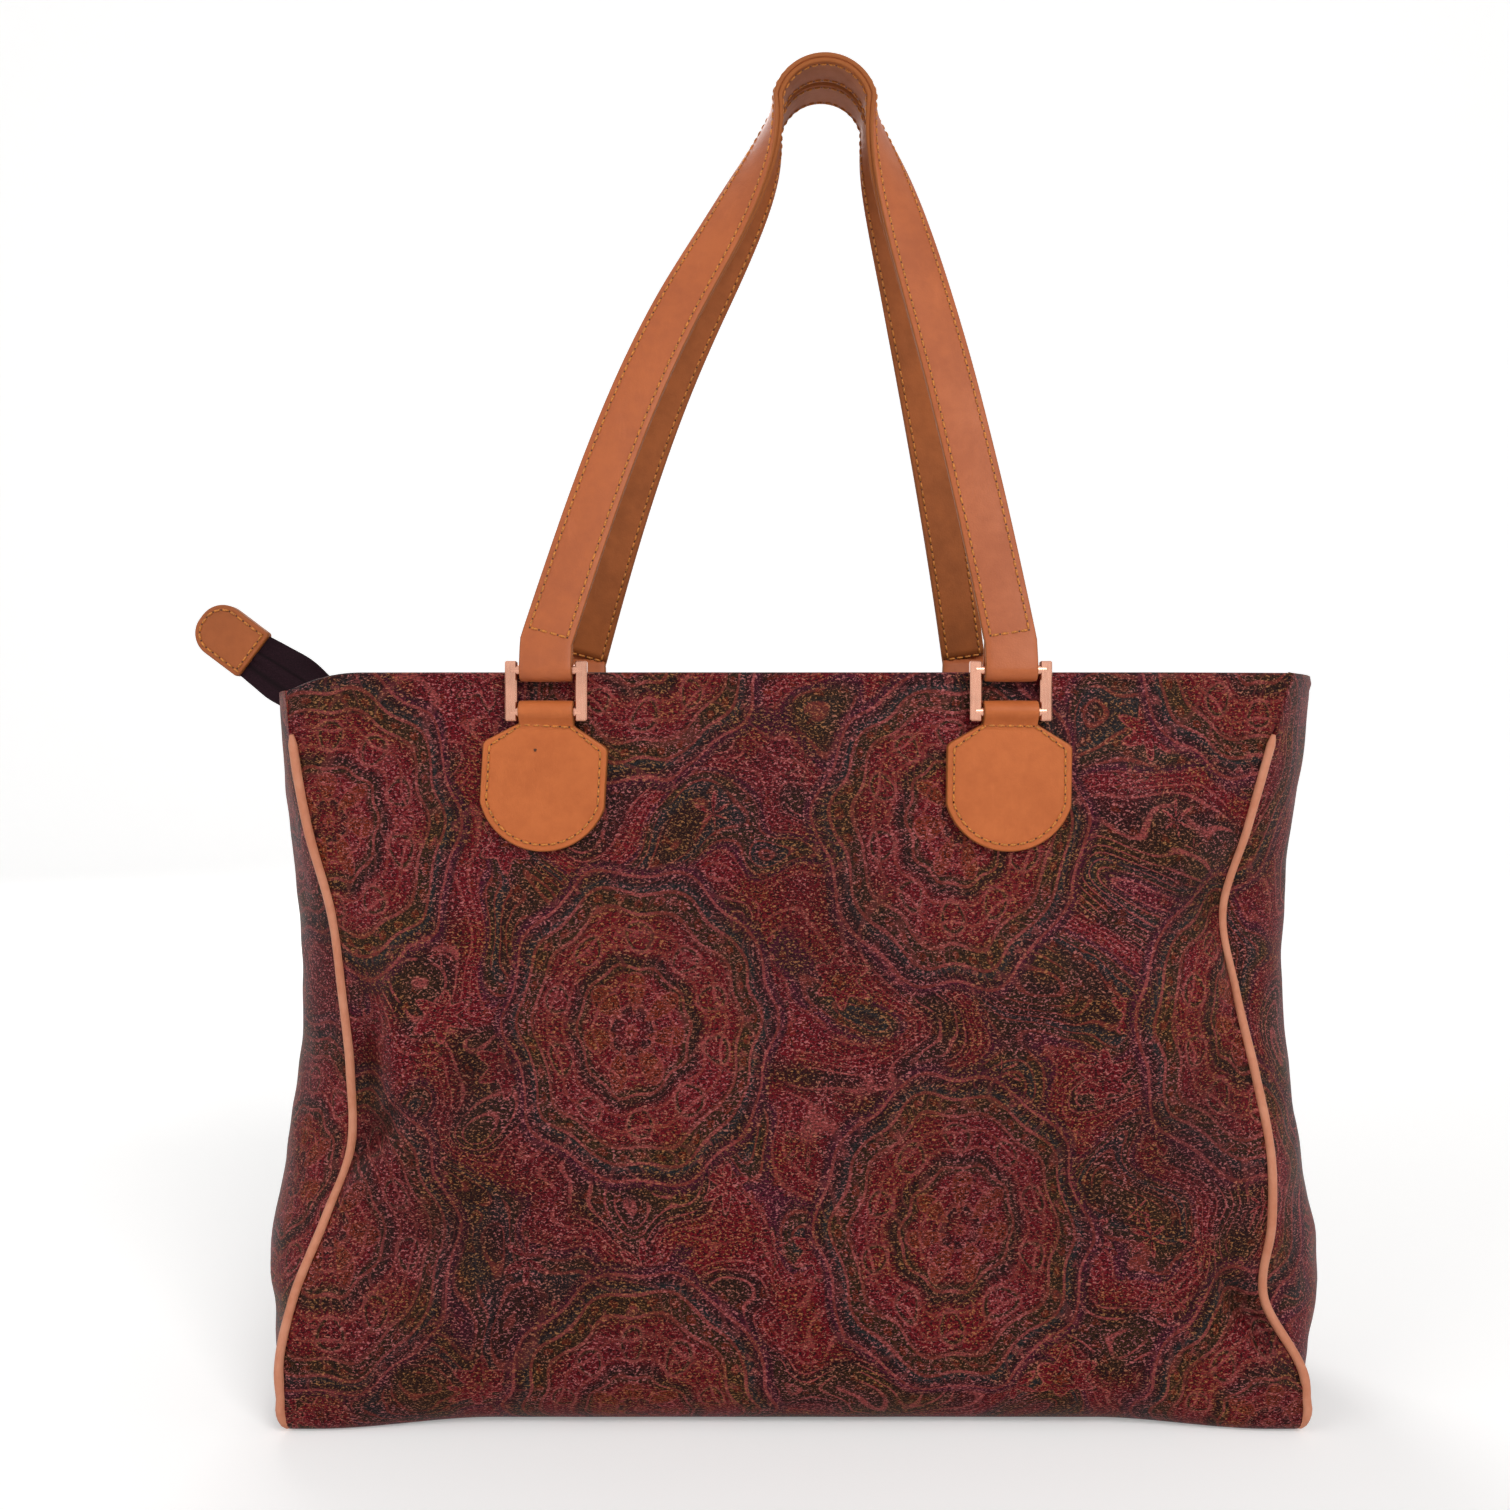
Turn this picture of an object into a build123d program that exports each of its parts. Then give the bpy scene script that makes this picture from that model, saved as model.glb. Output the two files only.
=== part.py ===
from build123d import *
import math
import os

# A zip-topped tote bag of coated canvas with leather trim, in millimetres
# X runs along the bag, the front faces -Y, and the base stands on Z = 0

# Body of the bag
bag_width = 400
bag_height = 295
bag_depth = 120
canvas = 1.6
base_roll = 20
base_lift = 0.3
sewing_gap = 0.3
flat_half = 128
edge_short = 1.5

# Heights of the body sections, as shares of the wall above the rolled base edge
level_shares = (0, 0.108, 0.217, 0.308, 0.421, 0.541, 0.654, 0.782, 0.909, 1)
# Distance of each side seam from the middle, as shares of half the bag width
left_seam_shares = (0.995, 0.975, 0.922, 0.88, 0.879, 0.893, 0.91, 0.95, 0.975, 0.985)
right_seam_shares = (0.99, 0.925, 0.938, 0.937, 0.913, 0.88, 0.858, 0.9, 0.94, 0.97)
# Swell of each gusset past its seams, as shares of half the bag width
left_bulge_shares = (1.05, 1.09, 1.085, 1.06, 1.035, 1.03, 1.035, 1.045, 1.055, 1.06)
right_bulge_shares = (1.05, 1.1, 1.09, 1.065, 1.045, 1.035, 1.04, 1.055, 1.075, 1.085)
# Sections of a gusset where it tucks under: height in the roll, seam, swell
tuck_shares = ((0.25, 0.972, 0.985), (0.5, 0.987, 1.02))
# How far a seam falls back for each millimetre that it is drawn in
fall_back_share = 0.72

# Piping along the side seams
piping_diameter = 3.7
piping_room = 1.7
piping_bend = 22
piping_corner_bend = 7
piping_under_bend = 10
piping_first_level = 8
piping_foot = 190
panel_corner = 16

# Leather tabs that carry the rings
tab_width = 48
tab_height = 58
tab_neck_width = 21
tab_neck_drop = 9
tab_shoulder_drop = 8
tab_round_drop = 18
tab_softening = 2.5
tab_leather = 2
left_tab_x = -95
right_tab_x = 83

# Rectangular rings of flat bar with round rods
ring_width = 31.4
ring_height = 23
ring_bar_width = 4.6
ring_bar_depth = 3.6
ring_bar_edge = 0.5
rod_diameter = 4
rod_spacing = 16
rod_play = 0.3
ring_rise = 4

# Shoulder straps
strap_width = 20
strap_leather = 2
strap_layer_gap = 0.1
strap_fold = 12.5
strap_apex_x = 14
strap_apex_y = -11
strap_rise = 258
strap_bend = 20
strap_bend_lean = 14
# Middle of a strap leg, as shares of its way in and its rise
strap_middle_shares = (0.545, 0.6)
# Lean of a leg where it leaves the fold, as a share of its whole way in
strap_lean_share = 0.75
strap_frames = 9
strap_twist_power = 6

# Zip strips, tapes and slider
zip_drop = 23
zip_left_end = -165
zip_right_end = 170
strip_taper_y = 40
strip_taper_run = 45
strip_edge_y = 9
strip_flange = 15
strip_flange_half = 120
tape_width = 15
tape_thickness = 1
coil_width = 2.6
coil_height = 3.8
coil_slot = 1.2
slider_length = 10
slider_width = 9
slider_plate = 1.2
slider_play = 0.35
slider_post = 0.6
slider_x = 158
crown_length = 6.4
crown_width = 1.8
crown_bar = 1
crown_gap = 2.6
pull_length = 22
pull_width = 6.4
pull_thickness = 1.2
pull_window = 3.8
pull_corner = 2

# Free tail of the zip with its leather end
tail_width = 26
tail_thickness = 1.6
tail_lift = 32.5
tail_reach = 62.5
tail_ridge = 5
tail_ridge_height = 0.7
tail_room = 0.3
tail_slant = 37
tail_dip = 18
tail_dip_radius = 45
# Route of the tail: shares of its reach, lift and width, and its twist in degrees
tail_shares = (
    (0, 0, 0, 1.2),
    (0.25, 0.08, 14, 1.15),
    (0.5, 0.35, 38, 1.05),
    (0.75, 0.68, 64, 0.95),
    (1, 1, 90, 0.8),
)
end_tab_width = 23
end_tab_length = 28
end_tab_thickness = 5.4
end_tab_overlap = 9
end_tab_round = 10.5

# Values worked out from the sizes above
half_width = bag_width / 2
front_y = -bag_depth / 2
roll_top = base_roll + base_lift
wall_height = bag_height - roll_top
levels = [roll_top + share * wall_height for share in level_shares]
piping_radius = piping_diameter / 2
piping_low_z = piping_radius + 2 * base_lift
rod_radius = rod_diameter / 2
rod_bore = rod_radius + rod_play
loop_radius = rod_bore + tab_leather
rod_y = front_y - sewing_gap - loop_radius
upper_rod_z = bag_height + ring_rise - (ring_height - rod_spacing) / 2
lower_rod_z = upper_rod_z - rod_spacing
tab_back_y = rod_y + loop_radius
tab_thickness = 2 * tab_leather
strap_thickness = 2 * strap_leather
strap_layer = strap_leather - strap_layer_gap / 2
strap_apex_z = bag_height + strap_rise - strap_thickness / 2 - strap_bend
zip_z = bag_height - zip_drop
overrun = bag_depth


def seam_point(side, shares, index):
    """Point of a front seam at one level, drawn in and back by the folds."""
    seam_x = shares[index] * half_width
    return side * seam_x, front_y + fall_back_share * (half_width - seam_x), levels[index]


def seam_edge(index):
    """How far the canvas stops short of the seam line, to leave the piping its place."""
    return piping_radius + piping_room if index <= piping_first_level else edge_short


def roll_y(height):
    """Front face of the rolled base edge at one height."""
    rise = roll_top - height
    return front_y + base_roll - math.sqrt(base_roll**2 - rise**2)


def panel_half(side, shares, index):
    """Outer and inner corner points of one half of a panel section."""
    seam_x, seam_y, _ = seam_point(side, shares, index)
    run = abs(seam_x) - seam_edge(index) - flat_half
    turn = 2 * math.atan2(seam_y - front_y, run)
    outer = (side * (flat_half + run), seam_y)
    inner = (outer[0] - side * canvas * math.sin(turn), seam_y + canvas * math.cos(turn))
    return outer, inner


def panel_section(index):
    """Closed outline of the front panel at one level: flat middle, curled sides."""
    with BuildLine() as outline:
        for y in (front_y, front_y + canvas):
            Line((-flat_half, y), (flat_half, y))
        for side, shares in ((-1, left_seam_shares), (1, right_seam_shares)):
            outer, inner = panel_half(side, shares, index)
            TangentArc((side * flat_half, front_y), outer, tangent=(side, 0))
            TangentArc((side * flat_half, front_y + canvas), inner, tangent=(side, 0))
            Line(outer, inner)
    return outline.line


def gusset_section(side, seam_x, seam_y, swell_x, edge):
    """Closed outline of a gusset at one level: an even swell between its two seams."""
    sag = swell_x - seam_x
    radius = (seam_y**2 + sag**2) / (2 * sag)
    middle_x = swell_x - radius
    ends = []
    with BuildLine() as outline:
        for bend in (radius, radius - canvas):
            reach = math.atan2(abs(seam_y), seam_x - middle_x) - edge / radius
            end_x = middle_x + bend * math.cos(reach)
            end_y = bend * math.sin(reach)
            ThreePointArc(
                (side * end_x, -end_y), (side * (middle_x + bend), 0), (side * end_x, end_y)
            )
            ends.append((side * end_x, end_y))
        for mirror_y in (-1, 1):
            Line(*[(x, mirror_y * y) for x, y in ends])
    return outline.line


def piping_route(side, shares):
    """Corner points and bends of one piping cord, front top to rear top."""
    front = [seam_point(side, shares, index) for index in range(piping_first_level, -1, -1)]
    corner_x = side * tuck_shares[1][1] * half_width
    corner = (corner_x, roll_y(tuck_shares[1][0] * roll_top), piping_low_z)
    foot = (side * piping_foot, front_y + base_roll - piping_diameter, piping_low_z)
    half = front + [corner, foot]
    bends = [piping_bend] * (len(front) - 1) + [piping_corner_bend, piping_under_bend]
    points = half + [(x, -y, z) for x, y, z in reversed(half)]
    return points, bends + bends[::-1]


def piping_cord(side, shares):
    """One round piping cord along its route."""
    points, bends = piping_route(side, shares)
    with BuildPart() as cord:
        with BuildLine() as route:
            FilletPolyline(*points, radius=bends)
        for run in route.edges():
            with BuildSketch(Plane(origin=run @ 0, z_dir=run % 0)):
                Circle(piping_radius)
            if run.geom_type == GeomType.LINE:
                extrude(amount=run.length)
            else:
                axle = (run @ 0 - run.arc_center).cross(run % 0)
                turn = math.degrees(run.length / run.radius)
                revolve(axis=Axis(run.arc_center, axle), revolution_arc=turn)
    return cord.part


# Piping of both side seams
with BuildPart() as left_piping:
    add(piping_cord(-1, left_seam_shares))
with BuildPart() as right_piping:
    add(piping_cord(1, right_seam_shares))

# Front panel: a curled wall over an edge that rolls under to the base
with BuildPart() as front_roll:
    with BuildSketch(Plane.YZ):
        with BuildLine():
            middle = (front_y + base_roll, roll_top)
            CenterArc(middle, base_roll, 180, 90)
            CenterArc(middle, base_roll - canvas, 180, 90)
            Line((front_y, roll_top), (front_y + canvas, roll_top))
            Line((middle[0], base_lift), (middle[0], base_lift + canvas))
        make_face()
    extrude(amount=bag_width, both=True)
    left_end = -left_seam_shares[0] * half_width + seam_edge(0)
    right_end = right_seam_shares[0] * half_width - seam_edge(0)
    with BuildSketch(Plane.XZ):
        with Locations(((left_end + right_end) / 2, bag_height / 2 + base_lift)):
            RectangleRounded(right_end - left_end, bag_height, panel_corner)
    extrude(amount=overrun, both=True, mode=Mode.INTERSECT)

with BuildPart() as front_panel:
    for index, level in enumerate(levels):
        with BuildSketch(Plane.XY.offset(level)):
            with BuildLine():
                add(panel_section(index))
            make_face()
    loft()
    add(front_roll.part)

with BuildPart() as rear_panel:
    add(mirror(front_panel.part, about=Plane.XZ, mode=Mode.PRIVATE))


def gusset(side, seam_shares, bulge_shares):
    """One end wall, tucked in at the bottom and swelling between its seams."""
    rows = []
    for height_share, seam_share, swell_share in tuck_shares:
        height = height_share * roll_top
        swell_x = swell_share * half_width
        rows.append((height, seam_share * half_width, roll_y(height), swell_x, seam_edge(0)))
    for index, level in enumerate(levels):
        seam_x, seam_y, _ = seam_point(1, seam_shares, index)
        rows.append((level, seam_x, seam_y, bulge_shares[index] * half_width, seam_edge(index)))
    with BuildPart() as wall:
        for height, seam_x, seam_y, swell_x, edge in rows:
            with BuildSketch(Plane.XY.offset(height)):
                with BuildLine():
                    add(gusset_section(side, seam_x, seam_y, swell_x, edge))
                make_face()
        loft()
    return wall.part


# Gussets: the left one dips under the free tail of the zip
with BuildPart() as left_gusset:
    add(gusset(-1, left_seam_shares, left_bulge_shares))
    with BuildSketch(Plane.YZ):
        with Locations((0, bag_height - tail_dip + tail_dip_radius)):
            Circle(tail_dip_radius)
    extrude(amount=-bag_width, mode=Mode.SUBTRACT)

with BuildPart() as right_gusset:
    add(gusset(1, right_seam_shares, right_bulge_shares))

# Base panel between the rolled edges and the piping
with BuildPart() as base_panel:
    with BuildSketch():
        Rectangle(
            2 * (piping_foot - piping_radius - piping_room),
            bag_depth - 2 * (base_roll + sewing_gap),
        )
    extrude(amount=canvas)


def tab(x):
    """A leather tab folded round the lower rod of a ring and sewn to the front panel."""
    neck_top = lower_rod_z + loop_radius
    shoulder_z = neck_top - tab_neck_drop
    side_z = shoulder_z - tab_shoulder_drop
    bottom_z = neck_top - tab_height
    half, neck = tab_width / 2, tab_neck_width / 2
    with BuildPart() as leather:
        with BuildSketch(Plane(origin=(x, tab_back_y, 0), x_dir=(1, 0, 0), z_dir=(0, -1, 0))):
            with BuildLine():
                Polyline(
                    (-half, bottom_z + tab_round_drop),
                    (-half, side_z),
                    (-neck, shoulder_z),
                    (-neck, lower_rod_z),
                    (neck, lower_rod_z),
                    (neck, shoulder_z),
                    (half, side_z),
                    (half, bottom_z + tab_round_drop),
                )
                ThreePointArc(
                    (-half, bottom_z + tab_round_drop),
                    (0, bottom_z),
                    (half, bottom_z + tab_round_drop),
                )
            outline = make_face()
            corners = [v for v in outline.vertices() if v.Z < lower_rod_z - rod_radius]
            fillet(corners, radius=tab_softening)
        extrude(amount=tab_thickness)
        with BuildSketch(Plane.YZ.offset(x)):
            with Locations((rod_y, lower_rod_z)):
                Circle(loop_radius)
            with BuildLine():
                Polyline(
                    (tab_back_y, lower_rod_z),
                    (rod_y - loop_radius, lower_rod_z),
                    (tab_back_y - tab_thickness, shoulder_z),
                    (tab_back_y, shoulder_z),
                    close=True,
                )
            make_face()
        extrude(amount=neck, both=True)
        with BuildSketch(Plane.YZ.offset(x)):
            with Locations((rod_y, lower_rod_z)):
                Circle(rod_bore)
        extrude(amount=tab_width, both=True, mode=Mode.SUBTRACT)
    return leather.part


def ring(x):
    """A rectangular ring: two flat side bars joined by a lower and an upper rod."""
    bar_x = (ring_width - ring_bar_width) / 2
    middle_z = (lower_rod_z + upper_rod_z) / 2
    with BuildPart() as metal:
        with Locations((x - bar_x, rod_y, middle_z), (x + bar_x, rod_y, middle_z)):
            Box(ring_bar_width, ring_bar_depth, ring_height)
        chamfer(metal.edges(), length=ring_bar_edge)
        with Locations((x, rod_y, lower_rod_z), (x, rod_y, upper_rod_z)):
            Cylinder(rod_radius, 2 * bar_x, rotation=(0, 90, 0))
    return metal.part


# Tabs and rings, the rear ones mirrored from the front ones
with BuildPart() as front_left_tab:
    add(tab(left_tab_x))
with BuildPart() as front_right_tab:
    add(tab(right_tab_x))
with BuildPart() as rear_left_tab:
    add(mirror(front_left_tab.part, about=Plane.XZ, mode=Mode.PRIVATE))
with BuildPart() as rear_right_tab:
    add(mirror(front_right_tab.part, about=Plane.XZ, mode=Mode.PRIVATE))
with BuildPart() as front_left_ring:
    add(ring(left_tab_x))
with BuildPart() as front_right_ring:
    add(ring(right_tab_x))
with BuildPart() as rear_left_ring:
    add(mirror(front_left_ring.part, about=Plane.XZ, mode=Mode.PRIVATE))
with BuildPart() as rear_right_ring:
    add(mirror(front_right_ring.part, about=Plane.XZ, mode=Mode.PRIVATE))


def leg_frames(side, tab_x):
    """Planes along one strap leg, flat to the front below and turned outward above."""
    lean = math.radians(strap_bend_lean)
    start = Vector(tab_x, rod_y, upper_rod_z + strap_fold - strap_leather)
    end = Vector(
        strap_apex_x + side * strap_bend * math.cos(lean),
        strap_apex_y,
        strap_apex_z + strap_bend * math.sin(lean),
    )
    way = end - start
    run_share, rise_share = strap_middle_shares
    middle = start + Vector(run_share * way.X, rise_share * way.Y, rise_share * way.Z)
    leaving = Vector(strap_lean_share * way.X, way.Y, way.Z)
    arriving = Vector(-side * math.sin(lean), 0, math.cos(lean))
    with BuildLine(mode=Mode.PRIVATE):
        route = Spline(start, middle, end, tangents=(leaving, arriving))
    frames = []
    for index in range(strap_frames):
        share = index / (strap_frames - 1)
        along = route % share
        across = (Vector(1, 0, 0) - along * along.X).normalized()
        outward = across.cross(along)
        turn = math.radians(90 * share**strap_twist_power)
        broad = across * math.cos(turn) - outward * (side * math.sin(turn))
        frames.append(Plane(origin=route @ share, x_dir=broad, z_dir=along))
    return frames


def strap_band(offset_share):
    """One leather layer of the front strap: two legs and the bend over the top."""
    layer_y = offset_share * (strap_leather + strap_layer_gap / 2) / 2
    with BuildPart() as band:
        for side, tab_x in ((-1, left_tab_x), (1, right_tab_x)):
            frames = leg_frames(side, tab_x)
            for frame in frames:
                with BuildSketch(frame):
                    with Locations((0, layer_y)):
                        Rectangle(strap_width, strap_layer)
            loft()
        with BuildSketch(leg_frames(-1, left_tab_x)[-1]):
            with Locations((0, layer_y)):
                Rectangle(strap_width, strap_layer)
        revolve(
            axis=Axis((strap_apex_x, strap_apex_y, strap_apex_z), (0, 1, 0)),
            revolution_arc=180 - 2 * strap_bend_lean,
        )
    return band.part


def strap_loop(x):
    """The folded end of a strap round the upper rod of a ring."""
    fold_z = upper_rod_z + strap_fold
    half = strap_thickness / 2
    with BuildPart() as fold:
        with BuildSketch(Plane.YZ.offset(x)):
            with Locations((rod_y, upper_rod_z)):
                Circle(loop_radius)
            with BuildLine():
                Polyline(
                    (rod_y - loop_radius, upper_rod_z),
                    (rod_y + loop_radius, upper_rod_z),
                    (rod_y + half, fold_z),
                    (rod_y - half, fold_z),
                    close=True,
                )
            make_face()
            with Locations((rod_y, upper_rod_z)):
                Circle(rod_bore, mode=Mode.SUBTRACT)
        extrude(amount=strap_width / 2 + strap_layer_gap, both=True)
    return fold.part


# Straps: an outer layer with the folded ends, and the lining strip inside it
with BuildPart() as front_strap:
    add(strap_band(-1))
    add(strap_loop(left_tab_x))
    add(strap_loop(right_tab_x))
with BuildPart() as front_strap_lining:
    add(strap_band(1))
    with Locations((0, 0, upper_rod_z + strap_fold - overrun / 2 + sewing_gap)):
        Box(bag_width, bag_depth + overrun, overrun, mode=Mode.SUBTRACT)
with BuildPart() as rear_strap:
    add(mirror(front_strap.part, about=Plane.XZ, mode=Mode.PRIVATE))
with BuildPart() as rear_strap_lining:
    add(mirror(front_strap_lining.part, about=Plane.XZ, mode=Mode.PRIVATE))

# Zip strips: canvas leaves sewn inside the panels, tapering at both ends
with BuildPart() as front_zip_strip:
    outer_y = front_y + canvas + sewing_gap
    with BuildSketch(Plane.XY.offset(zip_z)):
        with BuildLine():
            Polyline(
                (zip_left_end, -strip_edge_y),
                (zip_left_end, -strip_taper_y),
                (zip_left_end + strip_taper_run, outer_y),
                (zip_right_end - strip_taper_run, outer_y),
                (zip_right_end, -strip_taper_y),
                (zip_right_end, -strip_edge_y),
                close=True,
            )
        make_face()
    extrude(amount=-canvas)
    with Locations((0, outer_y, zip_z)):
        Box(
            2 * strip_flange_half,
            canvas,
            strip_flange,
            align=(Align.CENTER, Align.MIN, Align.MAX),
        )
with BuildPart() as rear_zip_strip:
    add(mirror(front_zip_strip.part, about=Plane.XZ, mode=Mode.PRIVATE))

# Zip tapes lie on the strips, each with its row of the closed coil
with BuildPart() as front_zip_tape:
    with BuildSketch(Plane.YZ.offset(zip_left_end)):
        with Locations((-coil_slot / 2, zip_z)):
            Rectangle(tape_width, tape_thickness, align=(Align.MAX, Align.MIN))
        with Locations((-coil_slot / 2, zip_z + tape_thickness / 2)):
            Rectangle(coil_width, coil_height, align=(Align.MAX, Align.CENTER))
    extrude(amount=zip_right_end - zip_left_end)
with BuildPart() as rear_zip_tape:
    add(mirror(front_zip_tape.part, about=Plane.XZ, mode=Mode.PRIVATE))

# Zip slider: two plates on a thin post, with a crown that holds the pull
coil_z = zip_z + tape_thickness / 2
plate_low = coil_z + coil_height / 2 + slider_play
plate_top = plate_low + slider_plate
crown_axis_z = plate_top + crown_gap / 2
with BuildPart() as zip_slider:
    for plate_z in (plate_low + slider_plate / 2, 2 * coil_z - plate_low - slider_plate / 2):
        with BuildSketch(Plane.XY.offset(plate_z)):
            with Locations((slider_x, 0)):
                RectangleRounded(slider_length, slider_width, pull_corner)
        extrude(amount=slider_plate / 2, both=True)
    with Locations((slider_x, 0, coil_z)):
        Box(slider_length / 2, slider_post, 2 * (plate_top - coil_z) - slider_plate)
    with BuildSketch(Plane.XZ):
        with Locations((slider_x, plate_top - crown_bar / 2)):
            Rectangle(crown_length, crown_gap + crown_bar * 3 / 2, align=(Align.CENTER, Align.MIN))
        with Locations((slider_x, crown_axis_z)):
            Rectangle(crown_length - 2 * crown_bar, crown_gap, mode=Mode.SUBTRACT)
    extrude(amount=crown_width / 2, both=True)

# Zip pull: a flat tongue whose window hangs on the crown
bar_edge_x = slider_x + pull_thickness / 2
with BuildPart() as zip_pull:
    with BuildSketch(Plane.XY.offset(crown_axis_z - pull_thickness / 2)) as tongue:
        with Locations((bar_edge_x, 0)):
            Rectangle(pull_length, pull_width, align=(Align.MAX, Align.CENTER))
        fillet(tongue.vertices().group_by(Axis.X)[0], radius=pull_corner)
        with Locations((bar_edge_x - pull_thickness, 0)):
            Rectangle(
                pull_window,
                crown_width + 2 * slider_play,
                align=(Align.MAX, Align.CENTER),
                mode=Mode.SUBTRACT,
            )
    extrude(amount=pull_thickness)

# Zip tail: the closed end of the zip, lifted over the gusset and turned to the front
slant = math.radians(tail_slant)
tail_along = Vector(-math.cos(slant), 0, math.sin(slant))
tail_start = Vector(zip_left_end - sewing_gap, 0, zip_z + tape_thickness / 2)
tail_root = tail_start + Vector(-tail_reach, 0, tail_lift)
tail_end_width = tail_shares[-1][3] * tail_width


def tail_frames():
    """Planes and widths along the zip tail, level at first and upright at its end."""
    way = tail_root - tail_start
    points = [
        tail_start + Vector(reach * way.X, 0, lift * way.Z) for reach, lift, _, _ in tail_shares
    ]
    for index, (point, row) in enumerate(zip(points, tail_shares)):
        if index == 0:
            along = Vector(-1, 0, 0)
        elif index == len(points) - 1:
            along = tail_along
        else:
            along = (points[index + 1] - points[index - 1]).normalized()
        turn = math.radians(row[2])
        upward = Vector(along.Z, 0, -along.X)
        broad = Vector(0, 1, 0) * math.cos(turn) + upward * math.sin(turn)
        yield Plane(origin=point, x_dir=broad, z_dir=along), row[3] * tail_width


with BuildPart() as zip_tail:
    for frame, width in tail_frames():
        with BuildSketch(frame):
            Rectangle(width, tail_thickness)
            Rectangle(tail_ridge, tail_thickness + 2 * tail_ridge_height)
    loft()
    with BuildSketch(frame):
        Rectangle(tail_end_width, tail_thickness)
        Rectangle(tail_ridge, tail_thickness + 2 * tail_ridge_height)
    extrude(amount=end_tab_overlap)

# Leather end of the tail, with a pocket for the sewn-in tape
with BuildPart() as zip_end_tab:
    face_front = Plane(origin=tail_root, x_dir=tail_along, z_dir=(0, -1, 0))
    with BuildSketch(face_front) as outline:
        Rectangle(end_tab_length, end_tab_width, align=(Align.MIN, Align.CENTER))
        fillet(outline.vertices().sort_by(Axis.X)[-2:], radius=end_tab_round)
    extrude(amount=end_tab_thickness / 2, both=True)
    with BuildSketch(Plane(origin=tail_root, x_dir=face_front.y_dir, z_dir=tail_along)):
        Rectangle(tail_end_width + 2 * tail_room, tail_thickness + 2 * tail_room)
        Rectangle(
            tail_ridge + 2 * tail_room, tail_thickness + 2 * (tail_ridge_height + tail_room)
        )
    extrude(amount=end_tab_overlap + tail_room, both=True, mode=Mode.SUBTRACT)

# Every piece goes out as a file of its own
pieces = {
    "front_panel": front_panel,
    "rear_panel": rear_panel,
    "left_gusset": left_gusset,
    "right_gusset": right_gusset,
    "base_panel": base_panel,
    "left_piping": left_piping,
    "right_piping": right_piping,
    "front_left_tab": front_left_tab,
    "front_right_tab": front_right_tab,
    "rear_left_tab": rear_left_tab,
    "rear_right_tab": rear_right_tab,
    "front_left_ring": front_left_ring,
    "front_right_ring": front_right_ring,
    "rear_left_ring": rear_left_ring,
    "rear_right_ring": rear_right_ring,
    "front_strap": front_strap,
    "front_strap_lining": front_strap_lining,
    "rear_strap": rear_strap,
    "rear_strap_lining": rear_strap_lining,
    "front_zip_strip": front_zip_strip,
    "rear_zip_strip": rear_zip_strip,
    "front_zip_tape": front_zip_tape,
    "rear_zip_tape": rear_zip_tape,
    "zip_tail": zip_tail,
    "zip_end_tab": zip_end_tab,
    "zip_slider": zip_slider,
    "zip_pull": zip_pull,
}
os.makedirs("parts", exist_ok=True)
for name, piece in pieces.items():
    piece.part.label = name
    export_step(piece.part, f"parts/{name}.step")
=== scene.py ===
import math

import bmesh
import bpy
import numpy as np
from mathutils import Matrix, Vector, noise


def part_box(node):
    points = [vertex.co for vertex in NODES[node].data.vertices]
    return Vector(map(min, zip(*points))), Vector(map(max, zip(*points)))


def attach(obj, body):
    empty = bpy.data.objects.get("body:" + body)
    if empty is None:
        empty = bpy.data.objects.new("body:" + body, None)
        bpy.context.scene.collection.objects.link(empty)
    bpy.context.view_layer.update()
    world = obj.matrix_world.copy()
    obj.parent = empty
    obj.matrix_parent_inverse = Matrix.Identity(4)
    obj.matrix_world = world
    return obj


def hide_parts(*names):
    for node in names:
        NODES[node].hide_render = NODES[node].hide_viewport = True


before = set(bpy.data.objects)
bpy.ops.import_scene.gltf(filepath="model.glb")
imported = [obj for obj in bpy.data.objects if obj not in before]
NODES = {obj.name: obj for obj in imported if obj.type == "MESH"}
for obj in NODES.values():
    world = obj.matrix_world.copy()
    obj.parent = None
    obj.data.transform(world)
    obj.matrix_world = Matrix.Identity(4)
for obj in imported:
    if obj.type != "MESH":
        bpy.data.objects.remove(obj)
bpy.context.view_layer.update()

bl_info = {
    "name": "Canvas Tote",
    "version": (1, 0, 0),
    "blender": (4, 5, 0),
    "location": "View3D > Sidebar > Tote",
    "description": "Dresses the packed tote bag: printed canvas, sewn leather, metal rings and the zip",
    "category": "Object",
}

MM = 0.001


def tone(red, green, blue):
    """A colour given in display values from 0 to 255, as the linear values that Blender keeps."""
    linear = []
    for value in (red, green, blue):
        share = value / 255
        linear.append(share / 12.92 if share <= 0.04045 else ((share + 0.055) / 1.055) ** 2.4)
    return tuple(linear)


def colour_prop(label, words, red, green, blue):
    """A colour property with its name, description and default."""
    return bpy.props.FloatVectorProperty(
        name=label, description=words, subtype="COLOR", size=3, min=0, max=1,
        default=tone(red, green, blue),
    )


def size_prop(label, words, millimetres):
    """A length property with its name, description and default."""
    return bpy.props.FloatProperty(
        name=label, description=words, subtype="DISTANCE", unit="LENGTH", min=0,
        default=millimetres * MM,
    )


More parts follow.
